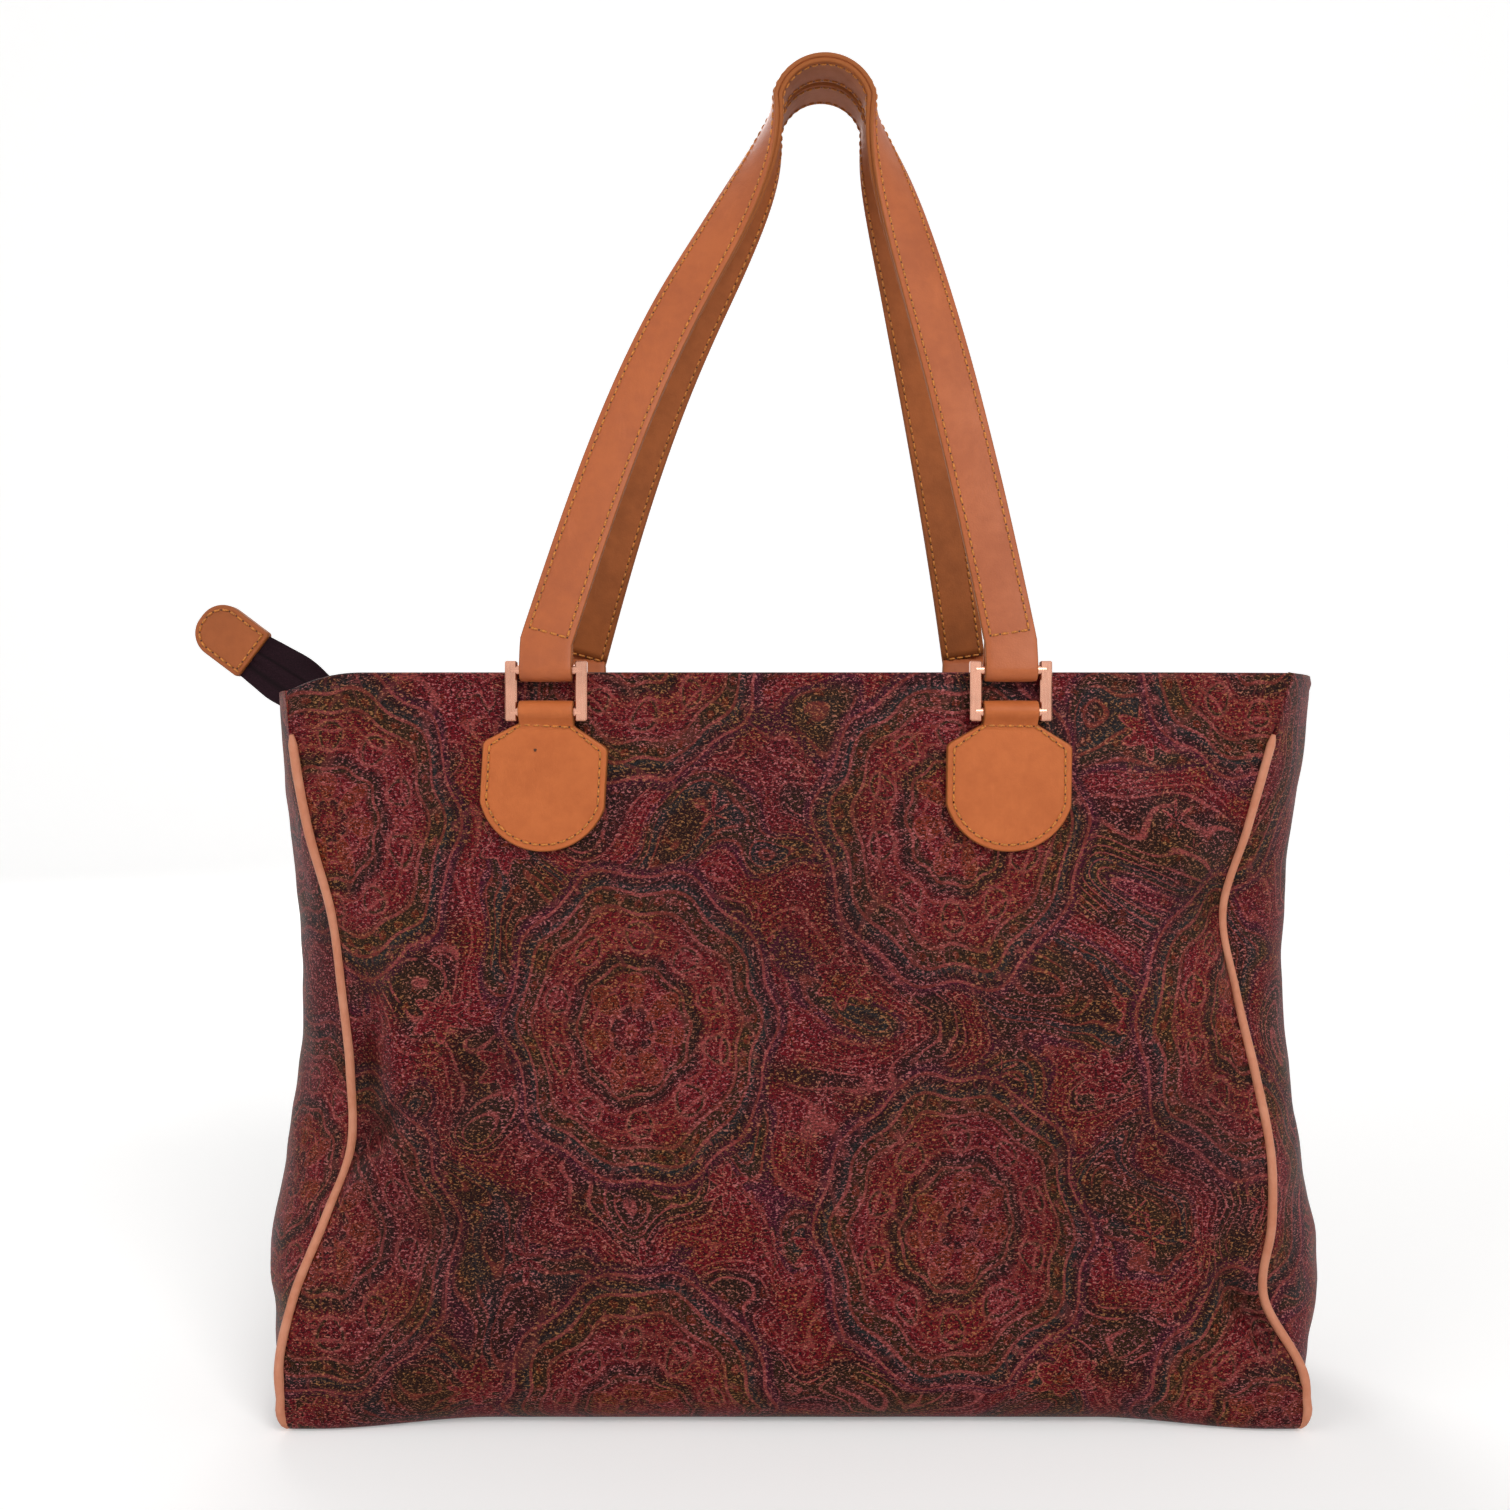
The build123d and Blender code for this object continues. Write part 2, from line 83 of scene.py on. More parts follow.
class ToteSizes(bpy.types.PropertyGroup):
    """Sizes of the sewn details."""

    canvas: size_prop("Canvas", "Thickness of the coated canvas", 1.6)
    strap_width: size_prop("Strap width", "Width of the shoulder straps", 20)
    strap_leather: size_prop("Strap leather", "Thickness of one leather layer of a strap", 1.95)
    piping: size_prop("Piping", "Diameter of the piping in the side seams", 3.7)
    stitch_pitch: size_prop("Stitch pitch", "Length of one stitch with its gap", 3.6)
    stitch_inset: size_prop("Stitch inset", "From the cut edge to the row of stitches", 2.5)
    thread: size_prop("Thread", "Diameter of the sewing thread", 0.95)
    coil_pitch: size_prop("Coil pitch", "From one turn of the zip coil to the next", 1.7)
    fold_depth: size_prop("Fold depth", "Depth of the soft folds in the canvas", 8.6)


class ToteColours(bpy.types.PropertyGroup):
    """Colours of the finishes."""

    ground: colour_prop("Ground", "Dark ground of the print", 42, 16, 15)
    crimson: colour_prop("Crimson", "Red fields of the print", 98, 12, 22)
    rust: colour_prop("Rust", "Warm fields and lines of the print", 106, 36, 19)
    olive: colour_prop("Olive", "Brown-green fields of the print", 50, 30, 14)
    plum: colour_prop("Plum", "Purple fields of the print", 70, 18, 36)
    teal: colour_prop("Teal", "Dark blue-green accents of the print", 34, 36, 38)
    pink: colour_prop("Pink", "Fine light lines of the print", 154, 70, 68)
    leather: colour_prop("Leather", "Tan leather of the tabs", 191, 104, 55)
    leather_dark: colour_prop("Leather shade", "Darker tone in the tan leather", 178, 94, 48)
    strap: colour_prop("Strap", "Browner tan leather of the straps", 178, 97, 56)
    strap_dark: colour_prop("Strap shade", "Darker tone in the strap leather", 164, 88, 53)
    # Painted shade: the tan leather made darker because the zip's end lay in shade
    zip_end: colour_prop("Zip end", "Dark tan leather at the end of the zip", 163, 89, 48)
    leather_edge: colour_prop("Leather edge", "Burnished cut edges", 150, 84, 40)
    lining: colour_prop("Strap lining", "Ochre inner layer of the straps", 166, 92, 48)
    piping: colour_prop("Piping", "Pale leather of the piping", 205, 139, 110)
    piping_dark: colour_prop("Piping shade", "Darker tone in the piping", 191, 120, 90)
    thread: colour_prop("Thread", "Golden sewing thread", 208, 126, 44)
    metal: colour_prop("Metal", "Rose-gold rings and zip slider", 221, 162, 137)
    tape: colour_prop("Tape", "Aubergine zip tape", 33, 15, 22)
    coil: colour_prop("Coil", "Zip coil", 26, 15, 22)
    cloth: colour_prop("Inside cloth", "Dark cloth inside the bag", 46, 26, 26)
    floor: colour_prop("Floor", "Pale floor and backdrop", 240, 239, 238)


# Body in millimetres, and its outline tables as shares of half its width at rising levels
HALF_WIDTH, FRONT_Y, FLAT_HALF, TOP_Z, ROLL_TOP = 200.0, -60.0, 128.0, 295.0, 20.3
FALL_BACK = 0.72
LEVELS = ROLL_TOP + (TOP_Z - ROLL_TOP) * np.array(
    (0, 0.108, 0.217, 0.308, 0.421, 0.541, 0.654, 0.782, 0.909, 1)
)
TUCK_LEVELS = np.array((1.2, 5.07, 10.15))
TUCK_SEAM = np.array((0.952, 0.972, 0.987))
TUCK_SWELL = np.array((0.957, 0.985, 1.02))
SEAM = {
    -1: np.array((0.995, 0.975, 0.922, 0.88, 0.879, 0.893, 0.91, 0.95, 0.975, 0.985)),
    1: np.array((0.99, 0.925, 0.938, 0.937, 0.913, 0.88, 0.858, 0.9, 0.94, 0.97)),
}
SWELL = {
    -1: np.array((1.05, 1.09, 1.085, 1.06, 1.035, 1.03, 1.035, 1.045, 1.055, 1.06)),
    1: np.array((1.05, 1.1, 1.09, 1.065, 1.045, 1.035, 1.04, 1.055, 1.075, 1.085)),
}
# Rolled lower edge of a panel: inner line, radius, how much less at the corners, height, length of its cloth
ROLL_Y, ROLL_RADIUS, CORNER_LESS, ROLL_LOW, ROLL_LENGTH = -40.0, 20.0, 13.5, 0.3, 51.4
ROLL_SEAM_Y = (43.7, 57.2, 60.0)
ROLL_SEAM_X = {-1: (190.0, 197.4, 199.0), 1: (190.0, 197.0, 198.0)}
# Room that a panel and a gusset leave for the piping in their seam
PANEL_GAP, GUSSET_GAP = 1.2, 1.3
# Sunken upper left corner of the hem: where it starts, its run, its depth and its lowest height
SINK_X, SINK_RUN, SINK_DEPTH, SINK_Z = 168.0, 28.0, 7.0, 268.0
# Heights where the point rows of a wall get closer below the hem
HEM_LOW, HEM_FINE = 275.0, 286.0
# How far below the hem's top its groove, its thickest line and its curl lie
HEM_GROOVE, HEM_SWELL, HEM_CURL = 5.2, 2.4, 0.9
# Foot of a gusset, and the top of its tuck
GUSSET_LOW, TUCK_TOP = 1.6, 12.0
# Round notch in the left gusset under the zip's tail: its middle, radius, least depth and lowest height
NOTCH_Z, NOTCH_RADIUS, NOTCH_LEAST, NOTCH_FROM = 322.0, 45.0, 27.0, 200.0
# Middles of the tabs, and the rods of their rings
TAB_X = {-1: -95.0, 1: 83.0}
ROD_Y, LOWER_ROD_Z, UPPER_ROD_Z = -64.6, 279.5, 295.5
PIPING_TOP = LEVELS[8]


def unit(vectors):
    """Vectors scaled to length one."""
    return vectors / np.maximum(np.linalg.norm(vectors, axis=-1, keepdims=True), 1e-9)


def smooth_track(places, values, at):
    """A smooth line through values at uneven places."""
    places, values = np.asarray(places, float), np.asarray(values, float)
    at = np.clip(np.asarray(at, float), places[0], places[-1])
    slopes = np.gradient(values, places, axis=0)
    index = np.clip(np.searchsorted(places, at, side="right") - 1, 0, len(places) - 2)
    span = places[index + 1] - places[index]
    share = (at - places[index]) / span
    if values.ndim > 1:
        share, span = share[:, None], span[:, None]
    square, cube = share**2, share**3
    return (
        (2 * cube - 3 * square + 1) * values[index]
        + (cube - 2 * square + share) * span * slopes[index]
        + (3 * square - 2 * cube) * values[index + 1]
        + (cube - square) * span * slopes[index + 1]
    )


def seam_x(side, height):
    """Distance of a side seam from the middle at given heights."""
    places = np.concatenate((TUCK_LEVELS, LEVELS))
    return HALF_WIDTH * smooth_track(places, np.concatenate((TUCK_SEAM, SEAM[side])), height)


def swell_x(side, height):
    """Distance of a gusset's middle line from the middle at given heights."""
    places = np.concatenate((TUCK_LEVELS, LEVELS))
    return HALF_WIDTH * smooth_track(places, np.concatenate((TUCK_SWELL, SWELL[side])), height)


def seam_y(seam):
    """Front face of a side seam, which falls back where the folds draw it in."""
    return FRONT_Y + FALL_BACK * (HALF_WIDTH - seam)


def wall_y(x, left, right):
    """Front face of the panel at x between its two seams, flat in the middle and curled outside."""
    seam = np.where(x < 0, left, right)
    run = np.maximum(seam - FLAT_HALF, 1)
    drop = np.maximum(seam_y(seam) - FRONT_Y, 0.01)
    radius = (run**2 + drop**2) / (2 * drop)
    past = np.clip(np.abs(x) - FLAT_HALF, 0, run)
    return FRONT_Y + radius - np.sqrt(np.maximum(radius**2 - past**2, 0))


def corner_sink(x, z):
    """How far the hem sinks towards the upper corner over the free end of the zip."""
    near = np.clip((-x - SINK_X) / SINK_RUN, 0, 1)
    return SINK_DEPTH * near**2 * np.clip((z - SINK_Z) / (TOP_Z - SINK_Z), 0, 1)


def seam_gap(gap, height):
    """Room for the piping at a height, closing to a fifth just above the piping's end."""
    return gap if height < PIPING_TOP else gap * max(0.2, 1 - (height - PIPING_TOP) / 4)


def hump(x, z, start, end, width, taper=0.5):
    """A rounded ridge along a line from start to end, one at its middle and fading at its ends."""
    start, end = np.array(start, float), np.array(end, float)
    way = end - start
    length = np.linalg.norm(way)
    along = ((x - start[0]) * way[0] + (z - start[1]) * way[1]) / length**2
    across = ((x - start[0]) * way[1] - (z - start[1]) * way[0]) / length
    over = np.maximum(np.abs(along - 0.5) - 0.5, 0) * length
    ends = np.clip(1 - np.abs(along - 0.5) * 2, 0, 1) ** taper
    return np.exp(-((across / width) ** 2) - (over / width) ** 2) * np.where(over > 0, 0.3, 0.3 + 0.7 * ends)


# Folds of the front panel: start, end, half width, depth as a share (ridges above zero, valleys below)
FRONT_FOLDS = (
    ((-182, 88), (-146, 112), 8, 0.7),
    ((-175, 103), (-152, 126), 5, -0.8),
    ((-170, 118), (-167, 180), 8, -0.75),
    ((-154, 116), (-155, 176), 7, 0.45),
    ((-140, 120), (-112, 150), 12, -0.4),
    ((-172, 76), (-120, 74), 14, -0.35),
    ((-176, 150), (-140, 190), 12, 0.4),
    ((-165, 60), (-110, 40), 16, 0.45),
    ((164, 60), (187, 32), 5, -1.0),
    ((156, 64), (177, 36), 7, 0.6),
    ((178, 196), (140, 214), 10, -0.55),
    ((176, 178), (138, 160), 11, 0.45),
    ((172, 150), (150, 90), 12, -0.4),
    ((60, 120), (110, 60), 26, -0.3),
    ((-40, 70), (30, 110), 30, 0.3),
    ((-60, 200), (20, 180), 28, -0.22),
    ((120, 250), (160, 225), 12, 0.35),
    ((-150, 255), (-120, 225), 13, -0.3),
)
REAR_FOLDS = (
    ((-172, 176), (-132, 158), 11, 0.5),
    ((-170, 194), (-134, 216), 11, -0.6),
    ((-160, 66), (-180, 40), 7, 0.5),
    ((172, 100), (132, 128), 9, 0.7),
    ((166, 112), (126, 150), 13, -0.8),
    ((50, 90), (-30, 120), 30, -0.3),
    ((-60, 60), (-110, 110), 24, 0.3),
    ((10, 190), (70, 210), 26, 0.25),
)


def soft_noise(points, scale, seed):
    """Slow wavering over the canvas between minus one and one."""
    return np.array([
        noise.noise(Vector((x / scale + seed, y / scale, z / scale))) for x, y, z in points
    ])


def mesh_piece(name, points, faces, materials, uvs=None, edge=None, slots=None, closed=True, crease_shade=None):
    """A smooth-shaded mesh object from points in millimetres, with its cloth lengths and masks."""
    mesh = bpy.data.meshes.new(name)
    points = np.asarray(points, float) * MM
    mesh.from_pydata([tuple(p) for p in points], [], [tuple(int(i) for i in f) for f in faces])
    for material in materials:
        mesh.materials.append(material)
    mesh.polygons.foreach_set("use_smooth", [True] * len(mesh.polygons))
    if slots is not None:
        mesh.polygons.foreach_set("material_index", np.asarray(slots, np.int32))
    if uvs is not None:
        layer = mesh.uv_layers.new(name="cloth")
        corners = np.zeros(len(mesh.loops), np.int32)
        mesh.loops.foreach_get("vertex_index", corners)
        layer.data.foreach_set("uv", (np.asarray(uvs, np.float32) * MM)[corners].ravel())
    # The second mask is painted shade in the fold valleys and along the tail's creases
    for label, values in (("cut_edge", edge), ("crease_shade", crease_shade)):
        if values is not None:
            mask = mesh.attributes.new(label, "FLOAT", "POINT")
            mask.data.foreach_set("value", np.asarray(values, np.float32))
    if closed:
        work = bmesh.new()
        work.from_mesh(mesh)
        bmesh.ops.recalc_face_normals(work, faces=work.faces)
        work.to_mesh(mesh)
        work.free()
    mesh.update()
    piece = bpy.data.objects.new(name, mesh)
    bpy.context.scene.collection.objects.link(piece)
    return piece


def grid_faces(rows, columns, around=False, first=0, flip=False):
    """Four-sided faces over rows of points, closed round each row if asked."""
    faces = []
    reach = columns if around else columns - 1
    for row in range(rows - 1):
        for column in range(reach):
            low = first + row * columns + column
            side = first + row * columns + (column + 1) % columns
            face = (low, side, side + columns, low + columns)
            faces.append(face[::-1] if flip else face)
    return faces


def run_lengths(points):
    """Distance along a line of points at each of them."""
    steps = np.linalg.norm(np.diff(points, axis=0), axis=1)
    return np.concatenate(([0], np.cumsum(steps)))


def carry(centres, broads, normals, section, first=0):
    """Points, faces, lengths of a closed section carried along frames, with both ends filled."""
    section = np.asarray(section, float)
    points = (
        centres[:, None, :]
        + broads[:, None, :] * section[None, :, 0:1]
        + normals[:, None, :] * section[None, :, 1:2]
    ).reshape(-1, 3)
    count, sides = len(centres), len(section)
    faces = grid_faces(count, sides, around=True, first=first)
    faces.append(tuple(first + i for i in range(sides)))
    faces.append(tuple(first + (count - 1) * sides + i for i in range(sides)))
    girth = run_lengths(np.vstack((section, section[:1])))[:-1]
    length = run_lengths(centres)
    uvs = np.stack((np.tile(girth, count), np.repeat(length, sides)), axis=1)
    return points, faces, uvs


def rounded_bar(width, low, high, crown=0.0, soft=0.55):
    """Section of a leather strip with softened edges and a slightly raised face, and its edge mask."""
    half = width / 2
    section, mask = [], []
    for share in np.linspace(-1, 1, 9):
        a = share * (half - soft)
        section.append((a, low - crown * (1 - share**2)))
        mask.append(0.35 if abs(share) > 0.99 else 0.0)
    section += [(half - soft * 0.3, low + soft * 0.3), (half, low + soft), (half, high - soft * 0.6)]
    mask += [0.8, 1.0, 1.0]
    for share in np.linspace(1, -1, 5):
        section.append((share * (half - soft * 0.6), high))
        mask.append(0.4 if abs(share) > 0.99 else 0.0)
    section += [(-half, high - soft * 0.6), (-half, low + soft), (-half + soft * 0.3, low + soft * 0.3)]
    mask += [1.0, 1.0, 0.8]
    return np.array(section), np.array(mask)


class Wiring:
    """Places shader nodes in one tree and joins them."""

    def __init__(self, tree):
        self.tree = tree

    def add(self, kind, **settings):
        """A new node with its settings."""
        node = self.tree.nodes.new(kind)
        for key, value in settings.items():
            setattr(node, key, value)
        return node

    def put(self, target, value):
        """Joins a socket to an input, or sets the input's value."""
        if hasattr(value, "is_output"):
            self.tree.links.new(value, target)
        elif value is not None:
            target.default_value = value

    def math(self, operation, first, second=None, third=None):
        """A sum on values."""
        node = self.add("ShaderNodeMath", operation=operation)
        for slot, value in zip(node.inputs, (first, second, third)):
            self.put(slot, value)
        return node.outputs[0]

    def vector(self, operation, first, second=None, scale=None):
        """A sum on vectors."""
        node = self.add("ShaderNodeVectorMath", operation=operation)
        self.put(node.inputs[0], first)
        if second is not None:
            self.put(node.inputs[1], second)
        if scale is not None:
            self.put(node.inputs["Scale"], scale)
        return node.outputs["Value"] if operation in ("LENGTH", "DOT_PRODUCT") else node.outputs[0]

    def mix(self, share, first, second):
        """The first colour turning to the second."""
        node = self.add("ShaderNodeMix", data_type="RGBA")
        self.put(node.inputs[0], share)
        self.put(node.inputs[6], rgba(first))
        self.put(node.inputs[7], rgba(second))
        return node.outputs[2]

    def step(self, value, low, high):
        """A soft step from zero at low to one at high."""
        node = self.add("ShaderNodeMapRange", interpolation_type="SMOOTHSTEP")
        for slot, given in zip(node.inputs, (value, low, high, 0.0, 1.0)):
            self.put(slot, given)
        return node.outputs[0]

    def noise(self, vector, scale, detail=2.0, rough=0.5, twist=0.0):
        """A cloudy noise."""
        node = self.add("ShaderNodeTexNoise")
        self.put(node.inputs["Vector"], vector)
        self.put(node.inputs["Scale"], scale)
        self.put(node.inputs["Detail"], detail)
        self.put(node.inputs["Roughness"], rough)
        self.put(node.inputs["Distortion"], twist)
        return node

    def cells(self, vector, scale, spread=1.0):
        """Scattered cells."""
        node = self.add("ShaderNodeTexVoronoi")
        self.put(node.inputs["Vector"], vector)
        self.put(node.inputs["Scale"], scale)
        self.put(node.inputs["Randomness"], spread)
        return node

    def ramp(self, value, stops):
        """Colours along a value."""
        node = self.add("ShaderNodeValToRGB")
        elements = node.color_ramp.elements
        while len(elements) < len(stops):
            elements.new(1.0)
        for element, (place, colour) in zip(elements, stops):
            element.position = place
            element.color = rgba(colour)
        self.put(node.inputs[0], value)
        return node.outputs[0]

    def group(self, tree, **values):
        """A shared effect with its own values."""
        node = self.add("ShaderNodeGroup", node_tree=tree)
        for name, value in values.items():
            socket = node.inputs[name.replace("_", " ")]
            self.put(socket, rgba(value) if socket.type == "RGBA" else value)
        return node.outputs

    def bump(self, height, strength, distance):
        """A normal from a height."""
        node = self.add("ShaderNodeBump")
        node.inputs["Strength"].default_value = strength
        node.inputs["Distance"].default_value = distance
        self.put(node.inputs["Height"], height)
        return node.outputs[0]


def rgba(colour):
    """A colour with its alpha, or a socket as it is."""
    if hasattr(colour, "is_output") or colour is None:
        return colour
    values = tuple(colour)
    return values if len(values) == 4 else values + (1.0,)


def new_group(name, inputs, outputs):
    """An empty shader group with named sockets, its wiring, its input sockets and its output node."""
    tree = bpy.data.node_groups.new(name, "ShaderNodeTree")
    for label, kind in inputs:
        tree.interface.new_socket(label, in_out="INPUT", socket_type=kind)
    for label, kind in outputs:
        tree.interface.new_socket(label, in_out="OUTPUT", socket_type=kind)
    wiring = Wiring(tree)
    return tree, wiring, wiring.add("NodeGroupInput").outputs, wiring.add("NodeGroupOutput").inputs


VALUE, VECTOR, COLOUR = "NodeSocketFloat", "NodeSocketVector", "NodeSocketColor"
# Specular levels of the matt cloth and of the leather
CLOTH_GLINT, LEATHER_GLINT = 0.07, 0.2


def grain_group():
    """Leather grain: slow mottling, fine pebbles and scattered rub marks."""
    if "Leather Grain" in bpy.data.node_groups:
        return bpy.data.node_groups["Leather Grain"]
    tree, w, given, out = new_group(
        "Leather Grain", [("Vector", VECTOR), ("Size", VALUE)],
        [("Mottle", VALUE), ("Height", VALUE), ("Rub", VALUE)],
    )
    vector = w.vector("SCALE", given["Vector"], scale=given["Size"])
    slow = w.noise(vector, 46, 4, 0.55).outputs[0]
    mid = w.noise(vector, 240, 3, 0.6).outputs[0]
    pebbles = w.cells(vector, 1500).outputs["Distance"]
    fine = w.noise(vector, 1900, 2, 0.6).outputs[0]
    mottle = w.math("MULTIPLY_ADD", mid, 0.4, w.math("MULTIPLY", slow, 0.6))
    w.put(out["Mottle"], w.step(mottle, 0.32, 0.68))
    w.put(out["Height"], w.math("MULTIPLY_ADD", pebbles, 0.6, w.math("MULTIPLY", fine, 0.5)))
    streak = w.noise(w.vector("MULTIPLY", vector, (1.0, 1.0, 0.25)), 150, 4, 0.7, 0.4).outputs[0]
    w.put(out["Rub"], w.step(streak, 0.57, 0.75))
    return tree


def weave_group():
    """Cloth threads: light and dark short threads and their height."""
    if "Cloth Threads" in bpy.data.node_groups:
        return bpy.data.node_groups["Cloth Threads"]
    tree, w, given, out = new_group(
        "Cloth Threads", [("Vector", VECTOR), ("Size", VALUE)],
        [("Light", VALUE), ("Dark", VALUE), ("Height", VALUE)],
    )
    vector = w.vector("SCALE", given["Vector"], scale=given["Size"])
    long_way = w.vector("MULTIPLY", vector, (0.62, 1.0, 1.0))
    worms = w.noise(long_way, 1380, 2, 0.55, 0.9).outputs[0]
    flecks = w.noise(w.vector("ADD", long_way, (0.37, 0.11, 0.0)), 1520, 2, 0.6, 0.7).outputs[0]
    w.put(out["Light"], w.step(worms, 0.555, 0.65))
    w.put(out["Dark"], w.step(flecks, 0.53, 0.42))
    w.put(out["Height"], w.math("MULTIPLY_ADD", flecks, 0.5, worms))
    return tree


def edge_group():
    """Burnished cut edges: a colour that turns to the edge colour where the mask is high."""
    if "Cut Edge" in bpy.data.node_groups:
        return bpy.data.node_groups["Cut Edge"]
    tree, w, given, out = new_group(
        "Cut Edge", [("Vector", VECTOR), ("Mask", VALUE), ("Face", COLOUR), ("Edge", COLOUR)],
        [("Colour", COLOUR), ("Wear", VALUE)],
    )
    ragged = w.noise(given["Vector"], 420, 3, 0.6).outputs[0]
    share = w.math("ADD", given["Mask"], w.math("MULTIPLY_ADD", ragged, 0.7, -0.35))
    share = w.step(share, 0.35, 0.85)
    w.put(out["Colour"], w.mix(share, given["Face"], given["Edge"]))
    w.put(out["Wear"], share)
    return tree


def new_material(name):
    """A material with an empty tree: its wiring, its shader and its place sockets."""
    material = bpy.data.materials.new(name)
    material.use_nodes = True
    tree = material.node_tree
    tree.nodes.clear()
    w = Wiring(tree)
    shader = w.add("ShaderNodeBsdfPrincipled")
    w.put(w.add("ShaderNodeOutputMaterial").inputs["Surface"], shader.outputs[0])
    return material, w, shader.inputs, w.add("ShaderNodeTexCoord").outputs


def ready(name, maker):
    """A material by name, made the first time it is asked for."""
    label = f"tote_{name}"
    return bpy.data.materials.get(label) or maker(label)


# Repeat of the print in metres: width of a column, height of a row, reach of a rosette
REPEAT_WIDE, REPEAT_TALL, ROSETTE_REACH = 0.122, 0.158, 0.056


def ornament(w, place, c):
    """Colour and fine lines of an all-over ornament: rosettes in a half-drop, flowers and flowing lines."""
    drift = w.noise(place, 16, 2, 0.5)
    offset = w.vector("SCALE", w.vector("SUBTRACT", drift.outputs["Color"], (0.5, 0.5, 0.5)), scale=0.02)
    place = w.vector("ADD", place, offset)
    parts = w.add("ShaderNodeSeparateXYZ")
    w.put(parts.inputs[0], place)
    across, up = parts.outputs[0], parts.outputs[1]
    column = w.math("DIVIDE", across, REPEAT_WIDE)
    drop = w.math("FRACT", w.math("MULTIPLY", w.math("FLOOR", column), 0.5))
    a = w.math("MULTIPLY", w.math("SUBTRACT", w.math("FRACT", column), 0.5), REPEAT_WIDE)
    row = w.math("ADD", w.math("DIVIDE", up, REPEAT_TALL), drop)
    b = w.math("MULTIPLY", w.math("SUBTRACT", w.math("FRACT", row), 0.5), REPEAT_TALL * 0.84)
    turn = w.math("ARCTAN2", a, b)
    reach = w.math("SQRT", w.math("ADD", w.math("MULTIPLY", a, a), w.math("MULTIPLY", b, b)))
    lobes = w.math("COSINE", w.math("MULTIPLY", turn, 10.0))
    ring = w.math("MULTIPLY", reach, w.math("MULTIPLY_ADD", lobes, 0.035, 1.0))
    bands = w.math("DIVIDE", ring, ROSETTE_REACH)
    rosette = w.ramp(bands, [
        (0.00, c.rust), (0.05, c.crimson), (0.13, c.ground), (0.17, c.crimson), (0.30, c.crimson),
        (0.34, c.olive), (0.42, c.ground), (0.47, c.crimson), (0.66, c.crimson), (0.70, c.olive),
        (0.80, c.olive), (0.84, c.teal), (0.88, c.ground), (0.94, c.plum), (1.00, c.ground),
    ])

    def leaves(count, phase, middle, length, plump):
        beat = w.math("COSINE", w.math("MULTIPLY_ADD", turn, count, phase))
        beat = w.math("MULTIPLY_ADD", beat, 0.5, 0.5)
        off = w.math("DIVIDE", w.math("SUBTRACT", bands, middle), length)
        return w.math("SUBTRACT", w.math("SUBTRACT", beat, w.math("MULTIPLY", off, off)), plump)

    def rim(value, low, high):
        return w.math("MULTIPLY", w.step(value, low - 0.12, low), w.step(value, high + 0.12, high))

    inner, outer = leaves(7.0, 0.0, 0.22, 0.15, 0.35), leaves(10.0, 0.0, 0.56, 0.13, 0.42)
    beads = leaves(36.0, 0.0, 0.76, 0.034, 0.45)
    rosette = w.mix(w.step(inner, 0.0, 0.05), rosette, c.rust)
    rosette = w.mix(w.step(outer, 0.0, 0.05), rosette, c.olive)
    rosette = w.mix(w.step(outer, 0.24, 0.3), rosette, c.crimson)
    rosette = w.mix(w.math("MULTIPLY", w.step(beads, 0.0, 0.2), 0.7), rosette, c.rust)
    beat = w.math("FRACT", w.math("MULTIPLY_ADD", bands, 9.0, 0.2))
    waves = w.math("ABSOLUTE", w.math("SUBTRACT", beat, 0.5))
    rosette_line = w.math("MAXIMUM", w.step(waves, 0.12, 0.06), rim(outer, 0.0, 0.04))
    rosette_line = w.math("MAXIMUM", rosette_line, rim(inner, 0.0, 0.03))
    inside = w.step(bands, 1.0, 0.975)

    flow = w.noise(place, 17, 1.3, 0.45, 0.5).outputs[0]
    field = w.ramp(w.math("FRACT", w.math("MULTIPLY", flow, 3.2)), [
        (0.00, c.ground), (0.20, c.olive), (0.34, c.ground), (0.50, c.crimson), (0.66, c.crimson),
        (0.74, c.plum), (0.84, c.olive), (0.92, c.teal), (1.00, c.ground),
    ])
    contour = w.math("ABSOLUTE", w.math("SUBTRACT", w.math("FRACT", w.math("MULTIPLY", flow, 33.0)), 0.5))
    broken = w.step(w.noise(place, 60, 2).outputs[0], 0.36, 0.5)
    flow_line = w.math("MULTIPLY", w.step(contour, 0.15, 0.06), broken)

    def blossom(scale, spread, size, tips):
        spots = w.cells(place, scale, spread)
        away = w.vector("SUBTRACT", place, spots.outputs["Position"])
        bits = w.add("ShaderNodeSeparateXYZ")
        w.put(bits.inputs[0], away)
        spin = w.math("ARCTAN2", bits.outputs[0], bits.outputs[1])
        leaf = w.math("COSINE", w.math("MULTIPLY", spin, tips))
        far = w.math("MULTIPLY", w.vector("LENGTH", away), w.math("MULTIPLY_ADD", leaf, -0.24, 1.0))
        return w.math("DIVIDE", far, size)

